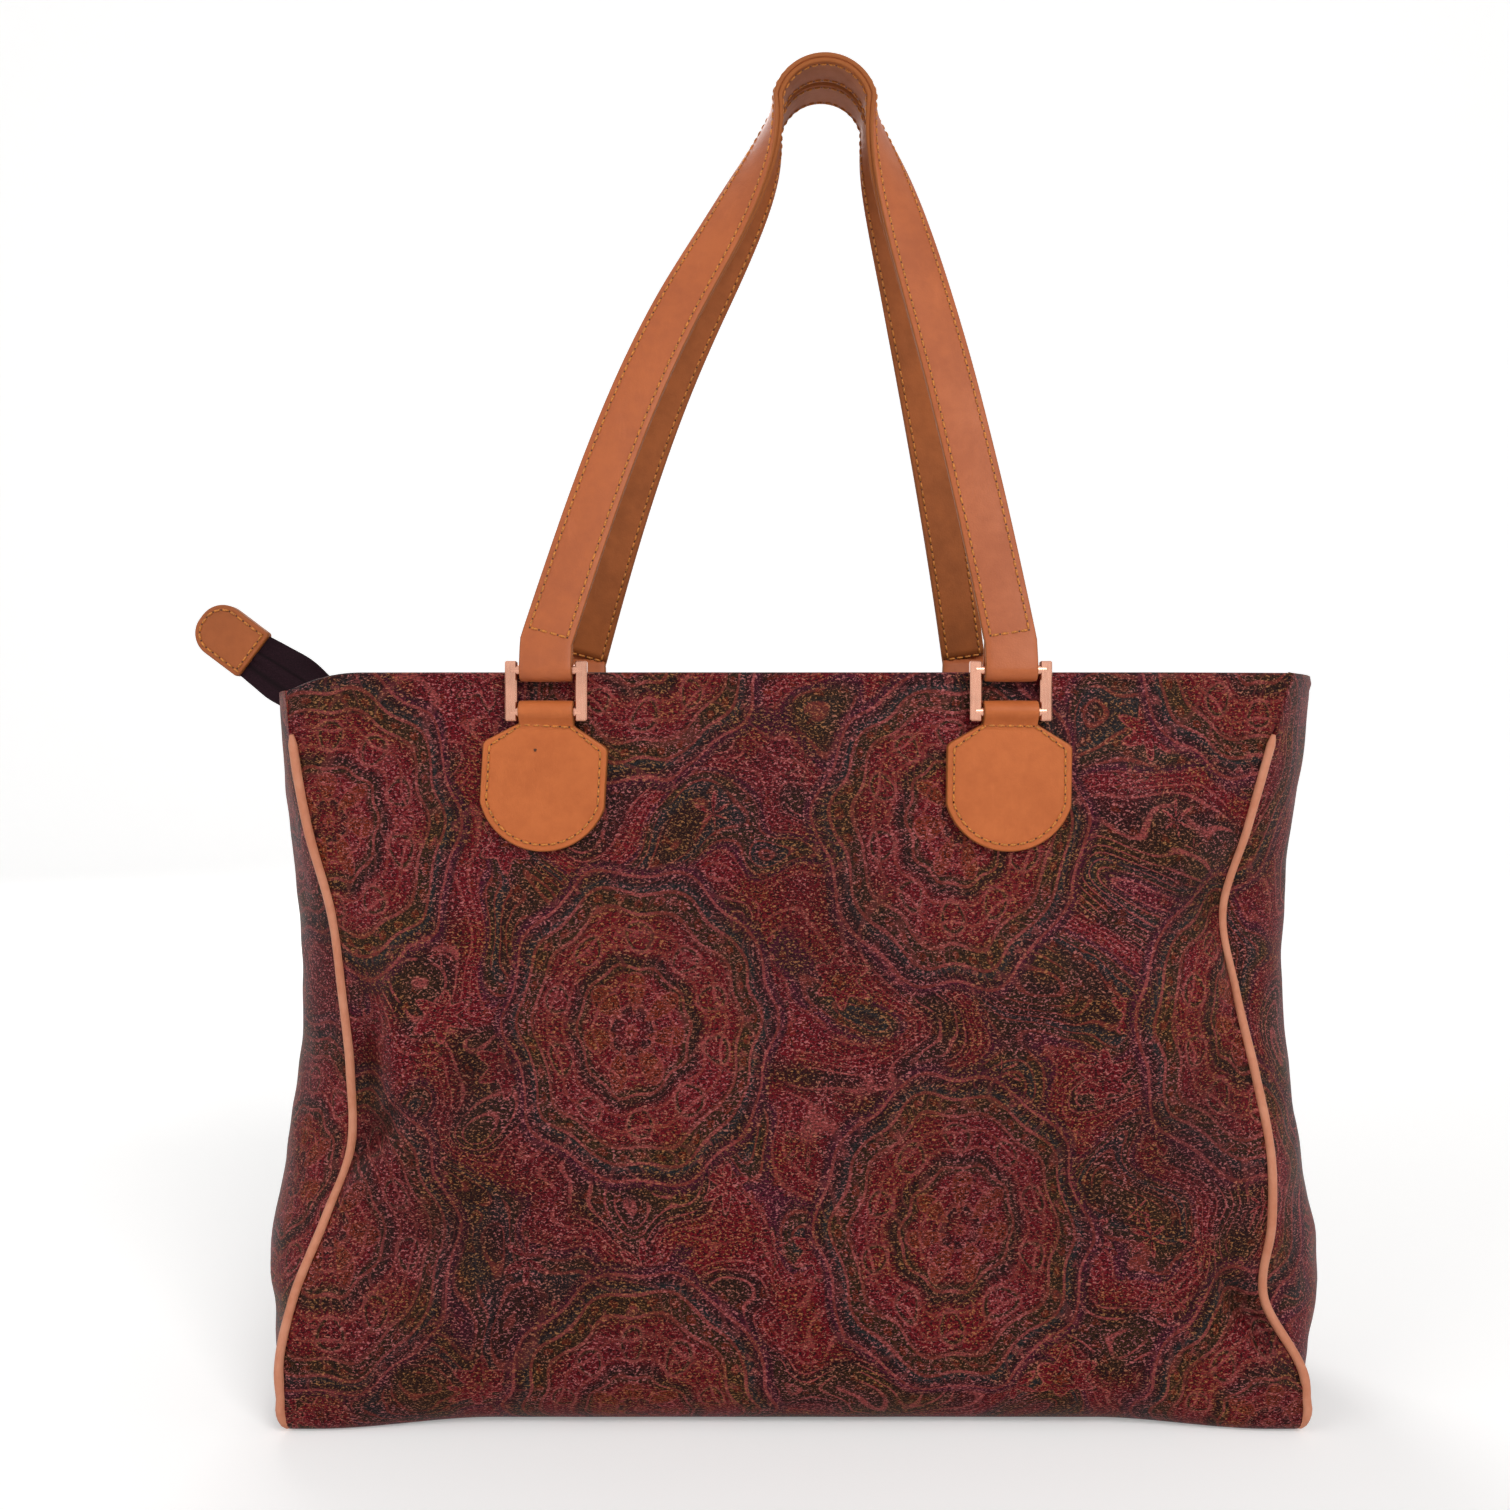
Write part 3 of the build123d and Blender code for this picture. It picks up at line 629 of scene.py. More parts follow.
    far = blossom(32, 0.8, 0.0105, 6.0)
    flower = w.ramp(far, [
        (0.0, c.rust), (0.2, c.rust), (0.27, c.ground), (0.4, c.crimson), (0.78, c.crimson),
        (0.86, c.pink), (0.93, c.olive), (1.0, c.ground),
    ])
    seeds = w.step(blossom(150, 0.9, 0.0019, 3.0), 1.0, 0.7)
    ground = w.mix(w.math("MULTIPLY", seeds, 0.55), field, c.rust)
    flow_colour = w.mix(w.step(flow, 0.42, 0.58), c.pink, c.rust)
    ground = w.mix(w.math("MULTIPLY", flow_line, 0.7), ground, flow_colour)
    ground = w.mix(w.step(far, 1.0, 0.94), ground, flower)
    outer_seeds = w.math("MULTIPLY", seeds, w.step(bands, 0.4, 0.5))
    medal = w.mix(w.math("MULTIPLY", outer_seeds, 0.4), rosette, c.pink)
    line_colour = w.mix(w.step(lobes, -0.4, 0.6), c.rust, c.pink)
    medal = w.mix(w.math("MULTIPLY", rosette_line, 0.62), medal, line_colour)
    lines = w.math("MAXIMUM", w.math("MULTIPLY", flow_line, 0.8), w.math("MULTIPLY", rosette_line, inside))
    return w.mix(inside, ground, medal), lines


def canvas_print(name):
    """Coated canvas with an all-over ornament under short wavy threads."""
    c = bpy.context.scene.tote_colours
    material, w, shader, place = new_material(name)
    colour, lines = ornament(w, place["UV"], c)
    threads = w.group(weave_group(), Vector=place["UV"], Size=1.0)
    patches = w.noise(place["UV"], 7, 3, 0.5).outputs[0]
    shade = w.mix(w.math("MULTIPLY", w.step(patches, 0.44, 0.66), 0.45), colour, c.ground)
    shade = w.mix(w.math("MULTIPLY", threads["Dark"], 0.93), shade, tone(12, 5, 6))
    warm = w.step(w.noise(place["UV"], 34, 2).outputs[0], 0.42, 0.6)
    lit = w.mix(0.62, colour, w.mix(warm, tone(202, 120, 120), tone(182, 124, 78)))
    shade = w.mix(w.math("MULTIPLY", threads["Light"], 0.95), shade, lit)
    shade = w.mix(w.math("MULTIPLY", lines, 0.2), shade, c.pink)
    # Painted shade: the print darkens towards near black in the fold valleys
    crease_shade = w.add("ShaderNodeAttribute", attribute_name="crease_shade").outputs["Fac"]
    shade = w.mix(w.math("MULTIPLY", crease_shade, 0.5), shade, tone(26, 13, 14))
    w.put(shader["Base Color"], shade)
    rough = w.math("MULTIPLY_ADD", threads["Height"], 0.16, 0.36)
    w.put(shader["Roughness"], rough)
    shader["Specular IOR Level"].default_value = CLOTH_GLINT
    height = w.math("MULTIPLY_ADD", lines, 0.35, threads["Height"])
    w.put(shader["Normal"], w.bump(height, 0.55, 0.00035))
    return material


def plain_cloth(name, colour, light, size=1.0, rough=0.72):
    """Unprinted woven cloth with a fine thread texture."""
    material, w, shader, place = new_material(name)
    threads = w.group(weave_group(), Vector=place["Object"], Size=size)
    shade = w.mix(w.math("MULTIPLY", threads["Light"], 0.5), colour, light)
    shade = w.mix(w.math("MULTIPLY", threads["Dark"], 0.5), shade, tuple(0.45 * v for v in colour))
    # Painted shade along creases: where the mask is set the cloth darkens to a fifth of its colour
    crease_shade = w.add("ShaderNodeAttribute", attribute_name="crease_shade").outputs["Fac"]
    shade = w.mix(w.math("MULTIPLY", crease_shade, 0.75), shade, tuple(0.2 * v for v in colour))
    w.put(shader["Base Color"], shade)
    w.put(shader["Roughness"], w.math("MULTIPLY_ADD", threads["Height"], 0.12, rough - 0.1))
    shader["Specular IOR Level"].default_value = CLOTH_GLINT
    w.put(shader["Normal"], w.bump(threads["Height"], 0.5, 0.0003))
    return material


def inside_cloth(name):
    """Dark cloth on the inner side of the canvas."""
    c = bpy.context.scene.tote_colours
    return plain_cloth(name, tuple(c.cloth), tone(74, 46, 44))


def strip_canvas(name):
    """Plain dark canvas of the zip strips."""
    c = bpy.context.scene.tote_colours
    return plain_cloth(name, tuple(0.5 * (g + t) for g, t in zip(c.ground, c.tape)), tone(84, 46, 50))


def tape_weave(name):
    """Fine weave of the zip tape."""
    c = bpy.context.scene.tote_colours
    return plain_cloth(name, tuple(c.tape), tone(48, 26, 34), 1.4, 0.66)


def leather(name, face, shade, edge, size, rough):
    """Smooth vegetable-tanned leather: mottled, lightly rubbed, burnished at its cut edges."""
    material, w, shader, place = new_material(name)
    grain = w.group(grain_group(), Vector=place["Object"], Size=size)
    colour = w.mix(grain["Mottle"], shade, face)
    pale = tuple(min(1.0, 1.18 * v + 0.012) for v in face)
    colour = w.mix(w.math("MULTIPLY", grain["Rub"], 0.3), colour, pale)
    mask = w.add("ShaderNodeAttribute", attribute_name="cut_edge").outputs["Fac"]
    worn = w.group(edge_group(), Vector=place["Object"], Mask=mask, Face=colour, Edge=edge)
    w.put(shader["Base Color"], worn["Colour"])
    gloss = w.math("MULTIPLY_ADD", grain["Mottle"], -0.1, rough)
    w.put(shader["Roughness"], w.math("MULTIPLY_ADD", worn["Wear"], 0.12, gloss))
    shader["Specular IOR Level"].default_value = LEATHER_GLINT
    w.put(shader["Normal"], w.bump(grain["Height"], 0.28, 0.00025))
    return material


def tan_leather(name):
    """Tan leather of the tabs."""
    c = bpy.context.scene.tote_colours
    return leather(name, tuple(c.leather), tuple(c.leather_dark), tuple(c.leather_edge), 1.0, 0.52)


def strap_leather(name):
    """Browner tan leather of the straps."""
    c = bpy.context.scene.tote_colours
    return leather(name, tuple(c.strap), tuple(c.strap_dark), tuple(c.leather_edge), 0.9, 0.5)


def zip_end_leather(name):
    """Tan leather of the zip end, darkened with painted shade."""
    c = bpy.context.scene.tote_colours
    shade = tuple(0.82 * v for v in c.zip_end)
    return leather(name, tuple(c.zip_end), shade, tuple(c.leather_edge), 1.1, 0.52)


def lining_leather(name):
    """Ochre inner layer of the straps."""
    c = bpy.context.scene.tote_colours
    shade = tuple(0.72 * v for v in c.lining)
    return leather(name, tuple(c.lining), shade, tuple(c.leather_edge), 0.8, 0.62)


def piping_leather(name):
    """Pale leather wrapped round the piping cord."""
    c = bpy.context.scene.tote_colours
    return leather(name, tuple(c.piping), tuple(c.piping_dark), tuple(c.leather_dark), 1.3, 0.5)


def sewing_thread(name):
    """Golden thread with its twist."""
    c = bpy.context.scene.tote_colours
    material, w, shader, place = new_material(name)
    twist = w.noise(place["Object"], 1700, 2, 0.6).outputs[0]
    dusk = tuple(0.5 * v for v in c.thread)
    w.put(shader["Base Color"], w.mix(w.step(twist, 0.38, 0.6), dusk, tuple(c.thread)))
    w.put(shader["Roughness"], w.math("MULTIPLY_ADD", twist, 0.2, 0.42))
    w.put(shader["Normal"], w.bump(twist, 0.4, 0.0002))
    return material


def needle_hole(name):
    """Painted shade in the needle holes, a near-black tone of the edge leather; the tab's small dark mark
    uses it too.
    """
    c = bpy.context.scene.tote_colours
    material, w, shader, place = new_material(name)
    rough = w.noise(place["Object"], 2000, 2).outputs[0]
    deep = tuple(0.16 * v for v in c.leather_edge)
    w.put(shader["Base Color"], w.mix(rough, deep, tuple(0.3 * v for v in c.leather_edge)))
    w.put(shader["Roughness"], w.math("MULTIPLY_ADD", rough, 0.2, 0.7))
    return material


def rose_gold(name):
    """Plated metal with hair-fine scratches and a soft bloom."""
    c = bpy.context.scene.tote_colours
    material, w, shader, place = new_material(name)
    hair = w.noise(w.vector("MULTIPLY", place["Object"], (1.0, 1.0, 0.08)), 2600, 3, 0.6).outputs[0]
    bloom = w.noise(place["Object"], 90, 3, 0.5).outputs[0]
    dusk = tuple(0.8 * v for v in c.metal)
    w.put(shader["Base Color"], w.mix(w.step(bloom, 0.35, 0.7), tuple(c.metal), dusk))
    shader["Metallic"].default_value = 1.0
    w.put(shader["Roughness"], w.math("MULTIPLY_ADD", hair, 0.2, w.math("MULTIPLY_ADD", bloom, 0.1, 0.1)))
    w.put(shader["Normal"], w.bump(hair, 0.06, 0.0001))
    return material


def coil_nylon(name):
    """Smooth dark nylon of the zip coil."""
    c = bpy.context.scene.tote_colours
    material, w, shader, place = new_material(name)
    dust = w.noise(place["Object"], 600, 3).outputs[0]
    w.put(shader["Base Color"], w.mix(w.step(dust, 0.5, 0.75), tuple(c.coil), tone(64, 46, 54)))
    w.put(shader["Roughness"], w.math("MULTIPLY_ADD", dust, 0.25, 0.25))
    return material


def sheet_piece(name, points, uvs, rows, columns, flip, materials, thickness, crease_shade=None):
    """An open sheet of cloth given its thickness inwards."""
    faces = grid_faces(rows, columns, flip=flip)
    piece = mesh_piece(name, points, faces, materials, uvs, closed=False, crease_shade=crease_shade)
    solid = piece.modifiers.new("Cloth thickness", "SOLIDIFY")
    solid.thickness = thickness
    solid.offset = -1.0
    solid.use_even_offset = False
    solid.material_offset = len(materials) - 1
    return piece


def seat(piece, body, slot, *nodes):
    """Lets a piece ride on its body and hides the solids that it stands for; its finish name in slot is not
    used.
    """
    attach(piece, body)
    if nodes:
        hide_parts(*nodes)
    return piece


def wall_rows():
    """Heights of the point rows of a wall, closer at the hem and at the roll."""
    return np.concatenate((
        np.linspace(ROLL_TOP, HEM_LOW, 112, endpoint=False),
        np.linspace(HEM_LOW, HEM_FINE, 8, endpoint=False),
        np.linspace(HEM_FINE, TOP_Z, 14),
    ))


def hem_relief(z):
    """The turned top edge: a sewn groove below a slightly thicker hem."""
    groove = np.exp(-(((z - (TOP_Z - HEM_GROOVE)) / 0.9) ** 2))
    swell = np.exp(-(((z - (TOP_Z - HEM_SWELL)) / 1.8) ** 2))
    curl = np.clip((z - (TOP_Z - HEM_CURL)) / HEM_CURL, 0, 1) ** 2
    return -0.35 * groove + 0.3 * swell - 0.7 * curl


def panel_points(folds, depth, seed):
    """Points, cloth lengths and painted-shade mask of the fold valleys of the front panel, from under the
    base to the hem.
    """
    columns, under_rows = 172, 26
    share = np.linspace(-1, 1, columns)
    rows, lengths = [], []
    corner = 0.5 - 0.5 * np.cos(np.pi * np.clip((np.abs(share) - 0.62) / 0.33, 0, 1))
    roll = ROLL_RADIUS - CORNER_LESS * corner
    for step in np.linspace(0, 1, under_rows, endpoint=False):
        flat = ROLL_RADIUS - roll
        bend = roll * math.pi / 2
        way = step * (flat + bend + flat)
        turn = np.clip((way - flat) / roll, 0, math.pi / 2)
        rise = np.maximum(way - flat - bend, 0)
        y = ROLL_Y - np.minimum(way, flat) - roll * np.sin(turn)
        z = ROLL_LOW + roll * (1 - np.cos(turn)) + rise
        left, right = (np.interp(-y, ROLL_SEAM_Y, ROLL_SEAM_X[side]) for side in (-1, 1))
        reach = np.where(share < 0, left, right) - PANEL_GAP
        x = share * reach
        rows.append(np.stack((x, y, z), axis=1))
        lengths.append(np.full(columns, step * ROLL_LENGTH - ROLL_LENGTH + ROLL_TOP))
    for height in wall_rows():
        left, right = seam_x(-1, height), seam_x(1, height)
        reach = np.where(share < 0, left, right) - seam_gap(PANEL_GAP, height)
        x = share * reach
        y = wall_y(x, left, right)
        rows.append(np.stack((x, y, np.full(columns, height)), axis=1))
        lengths.append(np.full(columns, height))
    points = np.concatenate(rows)
    x, z = points[:, 0], points[:, 2]
    give = np.zeros(len(points))
    for start, end, width, amount in folds:
        give += amount * hump(x, z, start, end, width)
    # Painted shade: a mask that darkens the print in the fold valleys
    crease_shade = np.clip(-1.2 * give, 0, 1)
    give += 0.20 * soft_noise(points, 38.0, seed) + 0.10 * soft_noise(points, 17.0, seed + 5)
    calm = np.ones(len(points))
    for tab_x in TAB_X.values():
        calm *= 1 - np.exp(-(((x - tab_x) / 34) ** 4) - ((np.minimum(z - 235, 0) / 22) ** 2))
    low = np.clip(z / 22, 0, 1)
    edge = np.concatenate([np.clip((1 - np.abs(share)) / 0.02, 0, 1)] * len(rows))
    top = 1 - 0.75 * np.clip((z - 262) / 26, 0, 1)
    points[:, 1] -= depth * give * calm * low * edge * top + hem_relief(z) * edge
    points[:, 2] -= corner_sink(points[:, 0], points[:, 2])
    spans = np.concatenate([run_lengths(row[:, :2]) for row in rows]).reshape(len(rows), columns)
    spans -= spans[:, columns // 2][:, None]
    uvs = np.stack((spans.ravel(), np.concatenate(lengths)), axis=1)
    return points, uvs, len(rows), columns, crease_shade * calm * low * top


class TOTE_OT_panels(bpy.types.Operator):
    """Makes the printed front and rear panels with their folds, rolled lower edges and hems"""

    bl_idname = "tote.panels"
    bl_label = "Panels"

    def execute(self, context):
        sizes = context.scene.tote_sizes
        outer, inner = ready("printed_canvas", canvas_print), ready("inside_cloth", inside_cloth)
        for name, node, folds, seed, back in (
            ("panel_front", "front_panel", FRONT_FOLDS, 3.0, False),
            ("panel_rear", "rear_panel", REAR_FOLDS, 11.0, True),
        ):
            points, uvs, rows, columns, crease_shade = panel_points(folds, sizes.fold_depth / MM, seed)
            if back:
                points[:, 1] *= -1
                uvs = uvs * (-1, 1) + (470, 35)
            piece = sheet_piece(name, points, uvs, rows, columns, back, [outer, inner], sizes.canvas, crease_shade)
            seat(piece, "bag", "printed_canvas", node)
        return {"FINISHED"}


def gusset_points(side, seed):
    """Points and cloth lengths of one end wall, tucked in below and swelling between its seams."""
    columns = 56
    share = np.linspace(-1, 1, columns)
    heights = np.concatenate((np.linspace(GUSSET_LOW, 30, 26, endpoint=False), np.linspace(30, TOP_Z, 92)))
    rows, lengths = [], []
    for height in heights:
        seam, swell = float(seam_x(side, height)), float(swell_x(side, height))
        back = -seam_y(seam)
        if height < TUCK_TOP:
            back = float(np.interp(height, (GUSSET_LOW, TUCK_LEVELS[1], TUCK_TOP), (56.0, 58.0, back)))
        sag = max(swell - seam, 0.4)
        radius = (back**2 + sag**2) / (2 * sag)
        wide = math.asin(min(1.0, back / radius))
        turn = share * (wide - seam_gap(GUSSET_GAP, height) / radius)
        x = swell - radius + radius * np.cos(turn)
        y = radius * np.sin(turn)
        z = np.full(columns, height)
        if side < 0:
            dip = NOTCH_Z - np.sqrt(np.maximum(NOTCH_RADIUS**2 - y**2, NOTCH_LEAST**2))
            cut = np.minimum(dip, TOP_Z - corner_sink(-x, np.full(columns, TOP_Z)))
            if height > NOTCH_FROM:
                z = NOTCH_FROM + (height - NOTCH_FROM) * (cut - NOTCH_FROM) / (TOP_Z - NOTCH_FROM)
        rows.append(np.stack((x, y, z), axis=1))
        lengths.append(radius * turn)
    points = np.concatenate(rows)
    y, z = points[:, 1], points[:, 2]
    inner = np.concatenate([np.clip((1 - np.abs(share)) / 0.12, 0, 1)] * len(rows))
    give = 0.9 * soft_noise(points, 30.0, seed) + 0.45 * soft_noise(points, 13.0, seed + 3)
    centre_fold = np.exp(-((y / 9) ** 2)) * np.clip((z - 90) / 150, 0, 1)
    lumps = 1.0 if side > 0 else -1.2
    give += lumps * 2.2 * np.exp(-(((z - 40) / 12) ** 2)) * np.exp(-(((y + 12) / 40) ** 2))
    give -= 1.4 * np.exp(-(((z - 86) / 12) ** 2))
    calm = np.clip((z - 3) / 18, 0, 1) * (1 - 0.6 * np.clip((z - 270) / 20, 0, 1))
    points[:, 0] += (1.3 * give - 2.2 * centre_fold) * inner * calm
    points[:, 0] += (hem_relief(z) if side > 0 else 0.0) * inner
    points[:, 0] *= side
    uvs = np.stack((np.concatenate(lengths), z), axis=1)
    return points, uvs, len(rows), columns


class TOTE_OT_gussets(bpy.types.Operator):
    """Makes the two swelling end walls"""

    bl_idname = "tote.gussets"
    bl_label = "Gussets"

    def execute(self, context):
        sizes = context.scene.tote_sizes
        outer, inner = ready("printed_canvas", canvas_print), ready("inside_cloth", inside_cloth)
        for name, node, side, seed in (
            ("gusset_left", "left_gusset", -1, 21.0), ("gusset_right", "right_gusset", 1, 33.0),
        ):
            points, uvs, rows, columns = gusset_points(side, seed)
            uvs = uvs + (side * 270, 61)
            piece = sheet_piece(name, points, uvs, rows, columns, side < 0, [outer, inner], sizes.canvas)
            seat(piece, "bag", "printed_canvas", node)
        return {"FINISHED"}


class TOTE_OT_base(bpy.types.Operator):
    """Makes the base panel between the rolled edges"""

    bl_idname = "tote.base"
    bl_label = "Base"

    def execute(self, context):
        sizes = context.scene.tote_sizes
        low, high = (np.array(corner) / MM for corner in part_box("base_panel"))
        rows, columns = 24, 90
        across, back = np.linspace(low[0], high[0], columns), np.linspace(low[1] - 0.4, high[1] + 0.4, rows)
        x, y = np.meshgrid(across, back)
        points = np.stack((x, y, np.full_like(x, low[2] + 0.25)), axis=2).reshape(-1, 3)
        points[:, 2] += 0.25 * (1 + soft_noise(points, 45.0, 2.0))
        uvs = points[:, :2] + (0, 600)
        outer, inner = ready("printed_canvas", canvas_print), ready("inside_cloth", inside_cloth)
        thickness = sizes.canvas * 0.8
        piece = sheet_piece("base_cloth", points, uvs, rows, columns, True, [outer, inner], thickness)
        seat(piece, "bag", "printed_canvas", "base_panel")
        return {"FINISHED"}


def turning_frames(path, hint):
    """Directions along, across and out of a line of points, carried along without twisting."""
    along = unit(np.gradient(path, axis=0))
    across = np.zeros_like(path)
    last = np.asarray(hint, float)
    for index, way in enumerate(along):
        last = last - way * np.dot(last, way)
        last = last / np.linalg.norm(last)
        across[index] = last
    return along, across, np.cross(along, across)


# Piping from the foot of a front seam round the lower corner to the middle of the base
PIPING_CORNER = np.array((
    (198.6, -59.6, 9.5), (197.9, -58.9, 6.0), (196.8, -57.0, 3.3), (195.2, -54.2, 2.35),
    (193.0, -49.6, 2.15), (191.0, -45.0, 2.15), (190.1, -38.0, 2.15), (190.0, -30.0, 2.15),
    (190.0, -15.0, 2.15), (190.0, 0.0, 2.15),
))


def piping_path(side):
    """Line of one piping cord: down the front seam, under the base and up the rear seam."""
    heights = np.linspace(PIPING_TOP + 1, 14, 74)
    seams = np.array([float(seam_x(side, height)) for height in heights])
    front = np.stack((seams, seam_y(seams) - 0.35, heights), axis=1)
    half = np.concatenate((front, PIPING_CORNER))
    half[:, 0] *= side
    path = np.concatenate((half, (half * (1, -1, 1))[-2::-1]))
    reach = run_lengths(path)
    return smooth_track(reach, path, np.linspace(0, reach[-1], 330))


class TOTE_OT_piping(bpy.types.Operator):
    """Makes the leather piping in the side seams"""

    bl_idname = "tote.piping"
    bl_label = "Piping"

    def execute(self, context):
        radius = context.scene.tote_sizes.piping / MM / 2
        skin = ready("piping_leather", piping_leather)
        turns = np.linspace(0, 2 * math.pi, 14, endpoint=False)
        section = np.stack((radius * np.cos(turns), radius * np.sin(turns)), axis=1)
        for name, node, side in (("piping_left", "left_piping", -1), ("piping_right", "right_piping", 1)):
            path = piping_path(side)
            along, across, out = turning_frames(path, (1, 0, 0))
            wobble = 1 + 0.05 * soft_noise(path, 9.0, 4.0 + side)
            end = np.minimum(np.arange(len(path)), np.arange(len(path))[::-1])
            wobble *= np.clip(0.45 + 0.28 * end, 0, 1)
            points, faces, uvs = carry(path, across * wobble[:, None], out * wobble[:, None], section)
            piece = mesh_piece(name, points, faces, [skin], uvs, np.zeros(len(points)))
            seat(piece, "bag", "tan_leather", node)
        return {"FINISHED"}


def sew(rows, pitch, width):
    """Stitches and the painted shade of their needle holes as flat dark discs, along lines on a surface:
    points, faces and their material places.
    """
    points, faces, slots = [], [], []
    ends = np.array((-0.40, -0.33, -0.16, 0.16, 0.33, 0.40))
    lift = np.array((-0.36, 0.06, 0.27, 0.27, 0.06, -0.36)) * width
    girth = np.array((0.24, 0.42, 0.5, 0.5, 0.42, 0.24)) * width
    sides = 6
    turns = np.linspace(0, 2 * math.pi, sides, endpoint=False)
    for line, outs in rows:
        line, outs = np.asarray(line, float), np.asarray(outs, float)
        reach = run_lengths(line)
        count = max(1, int(round(reach[-1] / pitch)))
        step = reach[-1] / count

        def at(place, values):
            return np.array([np.interp(place, reach, values[:, axis]) for axis in range(3)])

        for index in range(count + 1):
            place = index * step
            out = unit(at(place, outs))
            way = unit(at(place + 0.3, line) - at(place - 0.3, line))
            side = np.cross(out, way)
            # A flat dark disc of painted shade at each needle hole
            hole = at(place, line) + out * 0.07
            first = len(points)
            for turn in turns:
                points.append(hole + (way * math.cos(turn) + side * math.sin(turn)) * width * 0.42)
            faces.append(tuple(first + i for i in range(sides)))
            slots.append(1)
            if index == count:
                break
            middle = place + step / 2
            out = unit(at(middle, outs))
            way = unit(at(middle + step * 0.3, line) - at(middle - step * 0.3, line))
            side = unit(np.cross(out, way))
            slant = 0.05 * width * math.sin(7.3 * index)
            first = len(points)
            for end, height, thick in zip(ends, lift, girth):
                centre = at(middle, line) + way * (end * step) + out * height + side * slant
                for turn in turns:
                    flat = out * (0.8 * thick * math.cos(turn))
                    points.append(centre + flat + side * (thick * math.sin(turn)))
            more = grid_faces(len(ends), sides, around=True, first=first)
            last = first + (len(ends) - 1) * sides
            more += [tuple(start + i for i in range(sides)) for start in (first, last)]
            faces += more
            slots += [0] * len(more)
    return points, faces, slots


def sewn_piece(name, rows, sizes, marks=()):
    """One object of stitches along rows, with small dark marks where asked."""
    points, faces, slots = sew(rows, sizes.stitch_pitch / MM, sizes.thread / MM)
    for centre, out, radius in marks:
        out = unit(np.asarray(out, float))
        side = unit(np.cross(out, (0.0, 0.3, 1.0)))
        up = np.cross(side, out)
        first = len(points)
        for turn in np.linspace(0, 2 * math.pi, 9, endpoint=False):
            ragged = radius * (1 + 0.18 * math.sin(3 * turn))
            points.append(np.asarray(centre) + (side * math.cos(turn) + up * math.sin(turn)) * ragged)
        faces.append(tuple(first + i for i in range(9)))
        slots.append(1)
    # Painted shade of the needle holes, also the finish of the small dark marks
    dark_discs = ready("needle_hole", needle_hole)
    return mesh_piece(name, points, faces, [ready("sewing_thread", sewing_thread), dark_discs], slots=slots)


def soften(corners, radii, step=0.7):
    """A closed outline through corners, each rounded by its radius."""
    corners = np.asarray(corners, float)
    outline = []
    for index, (corner, radius) in enumerate(zip(corners, radii)):
        back, ahead = unit(corners[index - 1] - corner), unit(corners[(index + 1) % len(corners)] - corner)
        if radius <= 0:
            outline.append(corner)
            continue
        half = math.acos(max(-1.0, min(1.0, float(np.dot(back, ahead))))) / 2
        reach = radius / math.tan(half)
        centre = corner + unit(back + ahead) * radius / math.sin(half)
        start, end = corner + back * reach - centre, corner + ahead * reach - centre
        first = math.atan2(start[1], start[0])
        sweep = (math.atan2(end[1], end[0]) - first + math.pi) % (2 * math.pi) - math.pi
        count = max(3, int(abs(sweep) * radius / step) + 2)
        for share in np.linspace(0, 1, count):
            turn = first + sweep * share
            outline.append(centre + radius * np.array((math.cos(turn), math.sin(turn))))
    return even_line(np.array(outline), step)


def even_line(outline, step):
    """A closed outline with points at an even step."""
    ring = np.vstack((outline, outline[:1]))
    reach = run_lengths(ring)
    count = max(8, int(reach[-1] / step))
    at = np.linspace(0, reach[-1], count, endpoint=False)
    return np.stack((np.interp(at, reach, ring[:, 0]), np.interp(at, reach, ring[:, 1])), axis=1)


def inset(outline, distance):
    """A closed outline moved inwards by a distance."""
    ahead = unit(np.roll(outline, -1, axis=0) - outline)
    back = np.roll(ahead, 1, axis=0)
    inward = np.stack((-(ahead + back)[:, 1], (ahead + back)[:, 0]), axis=1)
    inward = unit(inward)
    true = np.stack((-ahead[:, 1], ahead[:, 0]), axis=1)
    stretch = 1 / np.maximum((inward * true).sum(axis=1), 0.6)
    return outline + inward * (distance * stretch)[:, None]


def patch(outline, levels, place):
    """A closed leather patch: rings of an outline at inset and height, filled on both faces."""
    count = len(outline)
    rings, mask = [], []
    for distance, height, edge in levels:
        rings.append((inset(outline, distance), height))
        mask += [edge] * count
    points = np.concatenate([place(ring[:, 0], ring[:, 1], height) for ring, height in rings])
    faces = grid_faces(len(rings), count, around=True)
    faces.append(tuple(range(count)))
    faces.append(tuple((len(rings) - 1) * count + i for i in range(count)))
    uvs = np.concatenate([ring for ring, _ in rings])
    return points, faces, uvs, np.array(mask)


# Cut edge of two glued layers of leather: inset, height as a share of the thickness, edge mask
GLUED_EDGE = (
    (1.15, 0.0, 0.0), (0.95, 0.0, 0.1), (0.3, 0.03, 0.7), (0.0, 0.14, 1.0), (0.0, 0.42, 1.0),
    (0.16, 0.475, 1.0), (0.16, 0.525, 1.0), (0.0, 0.58, 1.0), (0.0, 0.82, 1.0), (0.2, 0.94, 0.75),
    (0.55, 0.99, 0.4), (0.95, 1.0, 0.1), (1.15, 1.0, 0.0),
)
# Sewn part of a tab: its lowest point, shoulder, neck top and turning height, then half widths and round ends
TAB_LOW, TAB_SHOULDER, TAB_NECK_TOP, TAB_PIVOT = 225.8, 274.8, 277.0, 276.0
TAB_HALF, NECK_HALF, TAB_ROUND, TAB_SEWN = 24.0, 10.5, 25.0, 22.3
